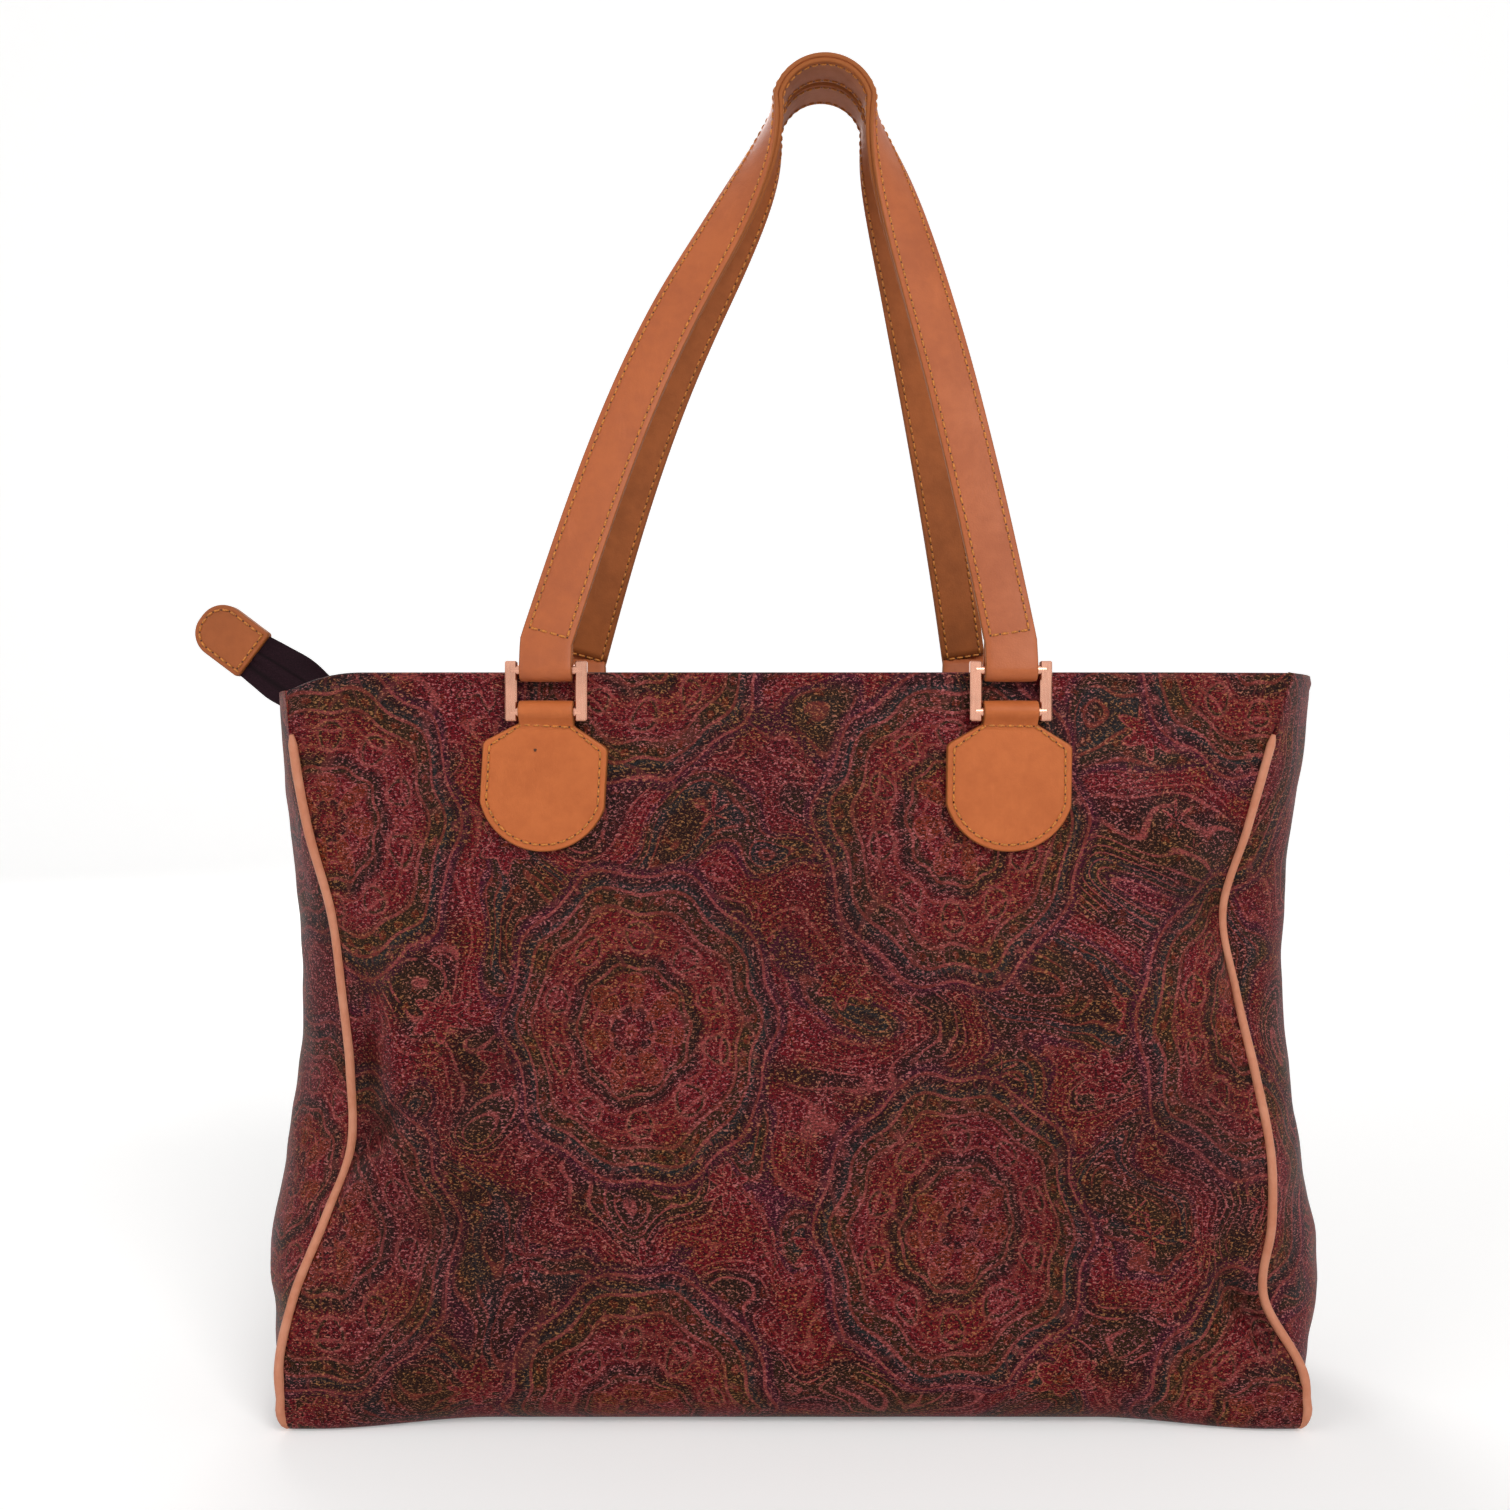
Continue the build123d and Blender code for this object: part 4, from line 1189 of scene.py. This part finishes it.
# Back of a tab, its thickness, and the fold that leads up to the rod and down behind it, in y and z
TAB_BACK, TAB_THICK, TAB_FOLD_RADIUS = -60.3, 4.0, 3.3
FOLD_FRONT = (
    (-63.0, 267.0), (-63.05, 270.0), (-63.2, 272.6), (-63.6, 274.4), (-64.7, 275.9), (-66.4, 277.4),
)
FOLD_BACK = ((-61.3, 277.5), (-61.3, 275.0), (-61.3, 270.0))
# Small dark mark on the front left tab: its middle, the way it faces and its radius
DARK_MARK = ((-99.3, -64.5, 264.9), (0, -1, 0), 0.62)


def tab_body(lean):
    """Outline of a tab's sewn part and the line of its stitches, in x from its middle and height."""
    turns = np.radians(np.linspace(-163.74, -16.26, 60))
    arc, sewn = (
        np.stack((radius * np.cos(turns), TAB_LOW + TAB_ROUND + radius * np.sin(turns)), axis=1)
        for radius in (TAB_ROUND, TAB_SEWN)
    )
    rising = [(TAB_HALF, TAB_SHOULDER - 8), (NECK_HALF, TAB_SHOULDER), (NECK_HALF, TAB_NECK_TOP)]
    upper = rising + [(-s, t) for s, t in rising[::-1]]
    outline = soften(np.concatenate((arc, upper)), [0] * len(arc) + [3, 1.4, 1.6, 1.6, 1.4, 3])
    rising = [(21.3, TAB_SHOULDER - 9.4), (9.4, TAB_SHOULDER - 0.6)]
    over = rising + [(-s, t) for s, t in rising[::-1]]
    line = soften(np.concatenate((sewn, over)), [0] * len(sewn) + [2, 1, 1, 2])
    swing = math.radians(lean)

    def turned(ring):
        s, t = ring[:, 0], ring[:, 1] - TAB_PIVOT
        across = s * math.cos(swing) + t * math.sin(swing)
        return np.stack((across, TAB_PIVOT + t * math.cos(swing) - s * math.sin(swing)), axis=1)

    return turned(outline), turned(line)


class TOTE_OT_tabs(bpy.types.Operator):
    """Makes the four stitched leather tabs, each folded round the lower rod of its ring"""

    bl_idname = "tote.tabs"
    bl_label = "Tabs"

    def execute(self, context):
        sizes = context.scene.tote_sizes
        skin = ready("tan_leather", tan_leather)
        turns = np.radians(np.linspace(192, 0, 26))
        around = TAB_FOLD_RADIUS * np.stack((np.cos(turns), np.sin(turns)), axis=1) + (ROD_Y, LOWER_ROD_Z)
        fold = np.concatenate((FOLD_FRONT, around, FOLD_BACK))
        section, mask = rounded_bar(21.0, -1.0, 0.98, 0.12)
        for place_name, mirrored in (("front", False), ("rear", True)):
            for hand, side, lean in (("left", -1, 3.2), ("right", 1, 0.8)):
                tab_x = TAB_X[side]
                outline, line = tab_body(lean)

                def place(s, t, height):
                    return np.stack((tab_x + s, np.full_like(s, TAB_BACK - height), t), axis=1)

                levels = [(distance, TAB_THICK * share, edge) for distance, share, edge in GLUED_EDGE]
                points, faces, uvs, edges = patch(outline, levels, place)
                path = np.array([(tab_x, y, z) for y, z in fold])
                along = unit(np.gradient(path, axis=0))
                broads = np.tile((1.0, 0.0, 0.0), (len(path), 1))
                normals = np.cross(along, broads)
                more, more_faces, more_uvs = carry(path, broads, normals, section, len(points))
                points = np.concatenate((points, more))
                faces = faces + more_faces
                uvs = np.concatenate((uvs, more_uvs + (60, 0)))
                edges = np.concatenate((edges, np.tile(mask, len(path))))
                ring = np.vstack((line, line[:1]))
                proud = 0.35 * np.clip((ring[:, 1] - 272.8) / 0.8, 0, 1) * (np.abs(ring[:, 0]) < 10.4)
                row = np.stack((tab_x + ring[:, 0], TAB_BACK - TAB_THICK - proud, ring[:, 1]), axis=1)
                outs = np.tile((0.0, -1.0, 0.0), (len(ring), 1))
                marks = [DARK_MARK] if side < 0 and not mirrored else []
                if mirrored:
                    points, row, outs = points * (1, -1, 1), row * (1, -1, 1), outs * (1, -1, 1)
                name = f"tab_{place_name}_{hand}"
                piece = mesh_piece(name, points, faces, [skin], uvs, edges)
                seat(piece, "bag", "tan_leather", f"{place_name}_{hand}_tab")
                seat(sewn_piece(f"{name}_stitches", [(row, outs)], sizes, marks), "bag", "tan_leather")
        return {"FINISHED"}


class TOTE_OT_rings(bpy.types.Operator):
    """Gives the rings, the zip slider and its pull their plated finish"""

    bl_idname = "tote.rings"
    bl_label = "Metal"

    def execute(self, context):
        plated = ready("rose_gold", rose_gold)
        rings = [f"{place}_{hand}_ring" for place in ("front", "rear") for hand in ("left", "right")]
        for name in rings + ["zip_slider", "zip_pull"]:
            NODES[name].data.materials.clear()
            NODES[name].data.materials.append(plated)
        return {"FINISHED"}


# Bend over the top of a strap: its middle, radius, and how far from level its ends are
BEND_X, BEND_Y, BEND_Z, BEND_RADIUS, BEND_LEAN = 14.0, -11.0, 531.0, 20.0, 14.0
# Radius of a strap's folded end round the upper rod, and where the leg starts above the rod
STRAP_FOLD_RADIUS, LEG_START = 2.28, 10.5
# Half the glue line between the two layers of a strap
GLUE = 0.05


def strap_leg(side):
    """Middle line and broad directions of one strap leg, rising and turning its edge to the front."""
    lean = math.radians(BEND_LEAN)
    start = np.array((TAB_X[side], ROD_Y, UPPER_ROD_Z + LEG_START))
    end = np.array((
        BEND_X + side * BEND_RADIUS * math.cos(lean), BEND_Y, BEND_Z + BEND_RADIUS * math.sin(lean),
    ))
    way = end - start
    middle = start + way * (0.545, 0.6, 0.6)
    leaving, arriving = unit(way * (0.75, 1, 1)), np.array((-side * math.sin(lean), 0, math.cos(lean)))
    low, high = np.linalg.norm(middle - start), np.linalg.norm(end - middle)
    bend = 3 * (high * (middle - start) / low + low * (end - middle) / high)
    passing = (bend - high * leaving - low * arriving) / (2 * (low + high))
    route = []
    for p, q, m, n, span in ((start, middle, leaving, passing, low), (middle, end, passing, arriving, high)):
        for u in np.linspace(0, 1, 80):
            route.append(
                (2 * u**3 - 3 * u**2 + 1) * p + (u**3 - 2 * u**2 + u) * span * m
                + (3 * u**2 - 2 * u**3) * q + (u**3 - u**2) * span * n
            )
    route = np.array(route)
    reach = run_lengths(route)
    shares = np.linspace(0, 1, 72)
    path = np.stack([np.interp(shares * reach[-1], reach, route[:, axis]) for axis in range(3)], axis=1)
    along = unit(np.gradient(path, axis=0))
    across = unit(np.array((1.0, 0, 0)) - along * along[:, :1])
    outward = np.cross(across, along)
    turn = np.radians(90 * shares**6)[:, None]
    return path, across * np.cos(turn) - outward * (side * np.sin(turn))


def strap_fold(x):
    """Middle line of the folded end round the upper rod, from behind, under the rod and up in front."""
    turns = np.radians(np.linspace(12, -192, 26))
    path = [(ROD_Y + 0.1, 307.4), (ROD_Y + 0.5, 304.5), (ROD_Y + 1.2, 301.0), (ROD_Y + 1.9, 298.0)]
    radius = STRAP_FOLD_RADIUS
    path += [(ROD_Y + radius * math.cos(t), UPPER_ROD_Z + radius * math.sin(t)) for t in turns]
    path += [(ROD_Y - 1.9, 298.2), (ROD_Y - 1.25, 301.0), (ROD_Y - 0.55, 303.6)]
    return np.array([(x, y, z) for y, z in path])


def strap_line():
    """Frames of the whole front strap: fold, leg, bend over the top, leg, fold."""
    left, left_broad = strap_leg(-1)
    right, right_broad = strap_leg(1)
    turns = np.radians(np.linspace(180 - BEND_LEAN, BEND_LEAN, 40))[1:-1]
    arc = BEND_RADIUS * np.stack((np.cos(turns), np.zeros_like(turns), np.sin(turns)), axis=1)
    bend = arc + (BEND_X, BEND_Y, BEND_Z)
    bend_broad = np.tile((0.0, -1.0, 0.0), (len(bend), 1))
    upper = np.concatenate((left, bend, right[::-1]))
    upper_broad = np.concatenate((left_broad, bend_broad, -right_broad[::-1]))
    first, last = strap_fold(TAB_X[-1]), strap_fold(TAB_X[1])[::-1]
    path = np.concatenate((first, upper, last))
    broads = np.concatenate((
        np.tile((1.0, 0, 0), (len(first), 1)), upper_broad, np.tile((-1.0, 0, 0), (len(last), 1)),
    ))
    along = unit(np.gradient(path, axis=0))
    broads = unit(broads - along * (broads * along).sum(axis=1)[:, None])
    normals = np.cross(along, broads)
    return path, broads, normals, len(first), len(first) + len(upper)


class TOTE_OT_straps(bpy.types.Operator):
    """Makes the two shoulder straps, each of two leather layers sewn together and folded round its rings"""

    bl_idname = "tote.straps"
    bl_label = "Straps"

    def execute(self, context):
        sizes = context.scene.tote_sizes
        width, thick = sizes.strap_width / MM, sizes.strap_leather / MM
        outer_skin = ready("strap_leather", strap_leather)
        inner_skin = ready("lining_leather", lining_leather)
        path, broads, normals, low, high = strap_line()
        wave = 0.35 * soft_noise(path, 40.0, 6.0)[:, None] * np.clip((path[:, 2:] - 320) / 60, 0, 1)
        path = path + normals * wave
        outer, outer_mask = rounded_bar(width, -GLUE - thick, -GLUE, 0.22)
        inner, inner_mask = rounded_bar(width - 0.5, -GLUE - thick, -GLUE, 0.12)
        inner = inner * (1, -1)
        row_at = width / 2 - sizes.stitch_inset / MM
        upper = slice(low + 1, high - 1)
        for name, sign in (("front", 1), ("rear", -1)):
            flip = np.array((1, sign, 1))
            body = f"{name}_handle"
            points, faces, uvs = carry(path, broads, normals, outer)
            piece = mesh_piece(
                f"strap_{name}", points * flip, faces, [outer_skin], uvs, np.tile(outer_mask, len(path)))
            seat(piece, body, "tan_leather", f"{name}_strap")
            points, faces, uvs = carry(path[upper], broads[upper], normals[upper], inner)
            piece = mesh_piece(
                f"strap_{name}_lining", points * flip, faces, [inner_skin], uvs + (90, 0),
                np.tile(inner_mask, len(path[upper])))
            seat(piece, body, "lining_leather", f"{name}_strap_lining")
            rows = []
            for face, lift in ((-1, 0.04), (1, 0.06)):
                height = face * (GLUE + thick + lift)
                for edge in (-1, 1):
                    line = path[upper] + broads[upper] * (edge * row_at) + normals[upper] * height
                    rows.append((line * flip, normals[upper] * face * flip))
                for index in (low + 1, high - 2):
                    offsets = np.linspace(-row_at, row_at, 12)[:, None]
                    line = path[index] + broads[index] * offsets + normals[index] * (height + face * 0.08)
                    rows.append((line * flip, np.tile(normals[index] * face * flip, (len(line), 1))))
            seat(sewn_piece(f"strap_{name}_stitches", rows, sizes), body, "tan_leather")
        return {"FINISHED"}


# Zip: height of the strips and ends of the coil
ZIP_Z, ZIP_LEFT, ZIP_RIGHT = 272.0, -165.0, 170.0
# Strips: outer line along the panel and at the ends, run of the taper, drop inside the panel and its rows
STRIP_Y, STRIP_END_Y, STRIP_RUN, STRIP_DROP, DROP_ROWS = -57.9, -40.0, 45.0, 15.0, 7
# Tapes: middle line and width
TAPE_Y, TAPE_WIDTH = -8.3, 14.6
# Leather end: length, half width, thickness, inset and height of its stitches
END_LENGTH, END_HALF, END_THICK, END_INSET, END_SEWN = 28.0, 11.5, 5.4, 2.3, 2.72
# Tail: where it leaves the zip, where the leather end starts, its rise there and its width
TAIL_START = np.array((-165.3, 0.0, 272.5))
TAIL_ROOT = np.array((-227.8, 0.0, 305.0))
TAIL_RISE = math.radians(37)
TAIL_ALONG = np.array((-math.cos(TAIL_RISE), 0.0, math.sin(TAIL_RISE)))
TAIL_DOWN = np.array((-math.sin(TAIL_RISE), 0.0, -math.cos(TAIL_RISE)))
TAIL_WIDTH = 26.0
# Lines of painted shade along the tail's creases, as shares of half its width
TAIL_SHADE_LINES = (-0.45, 0.2)
# Share of the way along, share of the rise, turn in degrees, share of the width
TAIL_ROWS = np.array((
    (0, 0, 0, 1.2), (0.25, 0.08, 14, 1.15), (0.5, 0.35, 38, 1.05), (0.75, 0.68, 64, 0.95), (1, 1, 90, 0.8),
))


def strip_points():
    """Points of the front zip strip: a leaf that tapers at its ends and turns down inside the panel."""
    rows, columns = 20, 100
    xs = np.linspace(ZIP_LEFT, ZIP_RIGHT, columns)
    outer = np.interp(
        xs, (ZIP_LEFT, ZIP_LEFT + STRIP_RUN, ZIP_RIGHT - STRIP_RUN, ZIP_RIGHT),
        (STRIP_END_Y, STRIP_Y, STRIP_Y, STRIP_END_Y))
    depth = STRIP_DROP * np.clip((132 - np.abs(xs - 2)) / 14, 0.03, 1)
    points, uvs = [], []
    for row in range(rows):
        if row < DROP_ROWS:
            share = row / DROP_ROWS
            y, z = outer + 0.25, ZIP_Z - depth * (1 - share) - 0.6
            if row == DROP_ROWS - 1:
                z = np.full(columns, ZIP_Z - 1.1)
        else:
            share = (row - DROP_ROWS) / (rows - DROP_ROWS - 1)
            y = outer + 1.2 + (-9 - outer - 1.2) * share
            z = np.full(columns, ZIP_Z - 0.35 - 1.5 * max(0.0, math.sin(math.pi * share)) ** 1.3)
        points.append(np.stack((xs, y, z), axis=1))
        uvs.append(np.stack((xs, np.full(columns, row * 4.0)), axis=1))
    points = np.concatenate(points)
    leaf = columns * DROP_ROWS
    points[leaf:, 2] -= 0.35 * (1 + soft_noise(points[leaf:], 22.0, 9.0))
    return points, np.concatenate(uvs), rows, columns


def tail_points():
    """The zip's free tail with its creases and the lines of painted shade along them, level where it leaves
    the zip and upright at its leather end.
    """
    places = np.arange(len(TAIL_ROWS))
    at = np.linspace(0, len(TAIL_ROWS) - 1, 64)
    way = TAIL_ROOT - TAIL_START
    stations = TAIL_START + TAIL_ROWS[:, :1] * way * (1, 0, 0) + TAIL_ROWS[:, 1:2] * way * (0, 0, 1)
    path = smooth_track(places, stations, at)
    path = np.concatenate((path, TAIL_ROOT + TAIL_ALONG * np.array((2.0, 5.0, 8.5))[:, None]))
    turn = np.radians(np.concatenate((smooth_track(places, TAIL_ROWS[:, 2], at), (90, 90, 90))))[:, None]
    width = TAIL_WIDTH * np.concatenate((smooth_track(places, TAIL_ROWS[:, 3], at), (0.8, 0.8, 0.8)))
    along = unit(np.gradient(path, axis=0))
    upward = np.stack((along[:, 2], np.zeros(len(path)), -along[:, 0]), axis=1)
    broads = np.array((0.0, 1.0, 0.0)) * np.cos(turn) + upward * np.sin(turn)
    normals = np.cross(along, broads)
    half = np.array((0.06, 0.13, 0.2, 0.3, 0.45, 0.62, 0.8, 0.93, 1))
    half_relief = np.array((1.5, 1.45, 0.6, 0.9, 0.8, 0.95, 0.7, 0.85, 0.5))
    shares = np.concatenate((-half[::-1], half))
    relief = np.concatenate((half_relief[::-1], half_relief))
    section = np.concatenate((np.stack((shares, relief), axis=1), np.stack((shares, -relief), axis=1)[::-1]))
    order = np.arange(len(path))
    free = np.clip(order / 10, 0, 1) * np.clip((len(path) - 4 - order) / 12, 0, 1)
    points = []
    for index in range(len(path)):
        a = section[:, 0] * width[index] / 2
        ripple = 0.9 * np.sin(index * 0.31 + 2.4 * section[:, 0]) * np.abs(section[:, 0]) ** 1.5 * free[index]
        b = section[:, 1] + ripple
        points.append(path[index] + broads[index] * a[:, None] + normals[index] * b[:, None])
    count = len(section)
    faces = grid_faces(len(path), count, around=True)
    faces += [tuple(range(count)), tuple((len(path) - 1) * count + i for i in range(count))]
    # Painted shade: dark lines along the tail's creases
    lines = np.isin(np.round(section[:, 0], 2), TAIL_SHADE_LINES).astype(float)
    return np.concatenate(points), faces, np.tile(lines, len(path))


def coil_points(side, pitch):
    """Turns of one coil row as short rounded loops across the tape's edge."""
    points, faces = [], []
    sides = 8
    turns = np.linspace(0, 2 * math.pi, sides, endpoint=False)
    ends = np.array((-1.0, -0.8, 0.0, 0.8, 1.0))
    girth = np.array((0.35, 0.8, 1.0, 0.85, 0.4))
    for x in np.arange(ZIP_LEFT + 1 + (0.5 + 0.25 * side) * pitch, ZIP_RIGHT - 1, pitch):
        first = len(points)
        for end, thick in zip(ends, girth):
            for turn in turns:
                points.append((
                    x + 0.62 * thick * math.cos(turn) + 0.25 * end,
                    side * (1.8 + 1.4 * end),
                    ZIP_Z + 0.5 + 1.75 * thick * math.sin(turn),
                ))
        faces += grid_faces(len(ends), sides, around=True, first=first)
        last = first + (len(ends) - 1) * sides
        faces += [tuple(start + i for i in range(sides)) for start in (first, last)]
    return points, faces


class TOTE_OT_zip(bpy.types.Operator):
    """Makes the recessed zip: strips, tapes with their coils, the free tail and its leather end"""

    bl_idname = "tote.zip"
    bl_label = "Zip"

    def execute(self, context):
        sizes = context.scene.tote_sizes
        canvas, tape = ready("strip_canvas", strip_canvas), ready("tape_weave", tape_weave)
        nylon, skin = ready("coil_nylon", coil_nylon), ready("zip_end_leather", zip_end_leather)
        for name, sign in (("front", 1), ("rear", -1)):
            flip = np.array((1, sign, 1))
            points, uvs, rows, columns = strip_points()
            thickness = sizes.canvas * 0.8
            piece = sheet_piece(
                f"zip_strip_{name}", points * flip, uvs, rows, columns, sign < 0, [canvas], thickness)
            seat(piece, "bag", "strip_canvas", f"{name}_zip_strip")
            xs = np.linspace(ZIP_LEFT, ZIP_RIGHT, 120)
            path = np.stack((xs, np.full_like(xs, TAPE_Y), np.full_like(xs, ZIP_Z + 0.5)), axis=1)
            path[:, 2] += 0.12 * soft_noise(path, 16.0, 3.0)
            section, _ = rounded_bar(TAPE_WIDTH, -0.45, 0.4, 0.1, 0.3)
            broads = np.tile((0.0, -1.0, 0.0), (len(xs), 1))
            normals = np.tile((0.0, 0.0, -1.0), (len(xs), 1))
            points, faces, uvs = carry(path, broads, normals, section)
            piece = mesh_piece(f"zip_tape_{name}", points * flip, faces, [tape], uvs)
            seat(piece, "bag", "zip_tape", f"{name}_zip_tape")
            points, faces = coil_points(-sign, sizes.coil_pitch / MM)
            seat(mesh_piece(f"zip_coil_{name}", points, faces, [nylon]), "bag", "zip_tape")
        points, faces, crease_shade_lines = tail_points()
        tail = mesh_piece("zip_tail_cloth", points, faces, [tape], crease_shade=crease_shade_lines)
        seat(tail, "bag", "zip_tape", "zip_tail")

        def place(s, t, height):
            flat = TAIL_ROOT + np.outer(s, TAIL_ALONG) + np.outer(t, TAIL_DOWN)
            return flat + np.array((0.0, -1.0, 0.0)) * height

        corners = [(0, -END_HALF), (END_LENGTH, -END_HALF), (END_LENGTH, END_HALF), (0, END_HALF)]
        outline = soften(corners, (1.8, 10.5, 10.5, 1.8))
        levels = [(distance, END_THICK * (share - 0.5), edge) for distance, share, edge in GLUED_EDGE]
        points, faces, uvs, edges = patch(outline, levels, place)
        piece = mesh_piece("zip_end_leather", points, faces, [skin], uvs, edges)
        seat(piece, "bag", "tan_leather", "zip_end_tab")
        ring = inset(outline, END_INSET)
        ring = np.vstack((ring, ring[:1]))
        rows = []
        for face in (-1, 1):
            line = place(ring[:, 0], ring[:, 1], -face * END_SEWN)
            rows.append((line, np.tile((0.0, face, 0.0), (len(ring), 1))))
        seat(sewn_piece("zip_end_stitches", rows, sizes), "bag", "tan_leather")
        return {"FINISHED"}


def shown_as_white(w):
    """One for rays from the eye, from gloss and through glass, zero for the light that falls on the bag."""
    path = w.add("ShaderNodeLightPath").outputs
    rays = w.math("MAXIMUM", path["Is Camera Ray"], path["Is Glossy Ray"])
    return w.math("MAXIMUM", rays, path["Is Transmission Ray"])


# Glow that lifts the lit floor below the bag and the dimmer wall far behind it to the same near white
GLOW_NEAR, GLOW_FAR, WALL_Y = 0.255, 0.6, 2.65
# Floor and backdrop in metres: near edge, start of the curve, half width and top of the wall
FLOOR_NEAR, FLOOR_FAR, FLOOR_HALF, WALL_TOP = -9.0, 2.6, 12.0, 5.0
# Level of the even light from all round
SKY_LIGHT = 0.38
# Lamps: name, place, size and power, all turned to one point
LAMPS = (
    ("key_lamp", (0.8, -1.75, 1.35), 0.9, 25),
    ("fill_lamp", (-1.5, -1.2, 0.9), 1.2, 9),
    ("back_lamp", (-0.6, 1.8, 1.6), 1.2, 17),
)
LAMP_AIM = (0.0, 0.0, 0.24)
CAMERA_PLACE, CAMERA_LENS, CAMERA_SENSOR = (-0.015, -0.645, 0.263), 36.09, 36.0


def studio_floor(name):
    """Pale matt floor that shows near white and keeps the shadow."""
    colour = tuple(bpy.context.scene.tote_colours.floor)
    material = bpy.data.materials.new(name)
    material.use_nodes = True
    material.node_tree.nodes.clear()
    w = Wiring(material.node_tree)
    matt = w.add("ShaderNodeBsdfDiffuse")
    matt.inputs["Color"].default_value = rgba(colour)
    flat = w.vector("MULTIPLY", w.add("ShaderNodeNewGeometry").outputs["Position"], (1.0, 1.0, 0.0))
    level = w.add("ShaderNodeMapRange")
    for slot, given in zip(level.inputs, (w.vector("LENGTH", flat), 0.0, WALL_Y, GLOW_NEAR, GLOW_FAR)):
        w.put(slot, given)
    glow = w.add("ShaderNodeEmission")
    w.put(glow.inputs["Strength"], w.math("MULTIPLY", shown_as_white(w), level.outputs[0]))
    both = w.add("ShaderNodeAddShader")
    w.put(both.inputs[0], matt.outputs[0])
    w.put(both.inputs[1], glow.outputs[0])
    w.put(w.add("ShaderNodeOutputMaterial").inputs["Surface"], both.outputs[0])
    return material


def soft_lamp(name, place, aim, size, watts):
    """A square lamp turned to a point."""
    lamp = bpy.data.lights.new(name, "AREA")
    lamp.size = size
    lamp.energy = watts
    holder = bpy.data.objects.new(name, lamp)
    holder.location = place
    holder.rotation_euler = (Vector(aim) - Vector(place)).to_track_quat("-Z", "Y").to_euler()
    bpy.context.scene.collection.objects.link(holder)


class TOTE_OT_stage(bpy.types.Operator):
    """Sets the pale floor, the soft lamps and the camera"""

    bl_idname = "tote.stage"
    bl_label = "Stage"

    def execute(self, context):
        scene = context.scene
        turns = np.radians(np.linspace(-90, 0, 14))
        profile = [(FLOOR_NEAR, 0.0)] + [(FLOOR_FAR + math.cos(t), 1 + math.sin(t)) for t in turns]
        profile.append((FLOOR_FAR + 1, WALL_TOP))
        points = np.array([(x, y, z) for y, z in profile for x in (-FLOOR_HALF, FLOOR_HALF)]) / MM
        pale = ready("studio_floor", studio_floor)
        floor = mesh_piece("studio_floor", points, grid_faces(len(profile), 2), [pale], closed=False)
        world = scene.world or bpy.data.worlds.new("studio")
        scene.world = world
        world.use_nodes = True
        world.node_tree.nodes.clear()
        w = Wiring(world.node_tree)
        sky = w.add("ShaderNodeBackground")
        sky.inputs["Color"].default_value = (1.0, 1.0, 1.0, 1.0)
        w.put(sky.inputs["Strength"], w.math("MULTIPLY_ADD", shown_as_white(w), 1 - SKY_LIGHT, SKY_LIGHT))
        w.put(w.add("ShaderNodeOutputWorld").inputs["Surface"], sky.outputs[0])
        for name, lamp_place, size, watts in LAMPS:
            soft_lamp(name, lamp_place, LAMP_AIM, size, watts)
        camera = bpy.data.objects.new("photo_camera", bpy.data.cameras.new("photo_camera"))
        camera.data.sensor_width = CAMERA_SENSOR
        camera.data.lens = CAMERA_LENS
        camera.location = CAMERA_PLACE
        camera.rotation_euler = (math.pi / 2, 0.0, 0.0)
        scene.collection.objects.link(camera)
        scene.camera = camera
        scene.view_settings.view_transform = "Standard"
        return {"FINISHED"}


class TOTE_PT_panel(bpy.types.Panel):
    """Sizes, colours and steps of the tote"""

    bl_label = "Tote"
    bl_idname = "TOTE_PT_panel"
    bl_space_type = "VIEW_3D"
    bl_region_type = "UI"
    bl_category = "Tote"

    def draw(self, context):
        column = self.layout.column(align=True)
        for name in STEPS:
            column.operator(f"tote.{name}")
        for title, group in (("Sizes", context.scene.tote_sizes), ("Colours", context.scene.tote_colours)):
            box = self.layout.box()
            box.label(text=title)
            for key in group.__annotations__:
                box.prop(group, key)


STEPS = ("panels", "gussets", "base", "piping", "tabs", "rings", "straps", "zip", "stage")
CLASSES = (
    ToteSizes, ToteColours, TOTE_OT_panels, TOTE_OT_gussets, TOTE_OT_base, TOTE_OT_piping, TOTE_OT_tabs,
    TOTE_OT_rings, TOTE_OT_straps, TOTE_OT_zip, TOTE_OT_stage, TOTE_PT_panel,
)


def register():
    """Adds the classes and the scene's property groups."""
    for item in CLASSES:
        bpy.utils.register_class(item)
    bpy.types.Scene.tote_sizes = bpy.props.PointerProperty(type=ToteSizes)
    bpy.types.Scene.tote_colours = bpy.props.PointerProperty(type=ToteColours)


def unregister():
    """Takes the property groups and the classes away again."""
    del bpy.types.Scene.tote_colours
    del bpy.types.Scene.tote_sizes
    for item in reversed(CLASSES):
        bpy.utils.unregister_class(item)


def main():
    """Makes every piece in order."""
    register()
    for name in STEPS:
        getattr(bpy.ops.tote, name)()


if __name__ == "__main__":
    main()
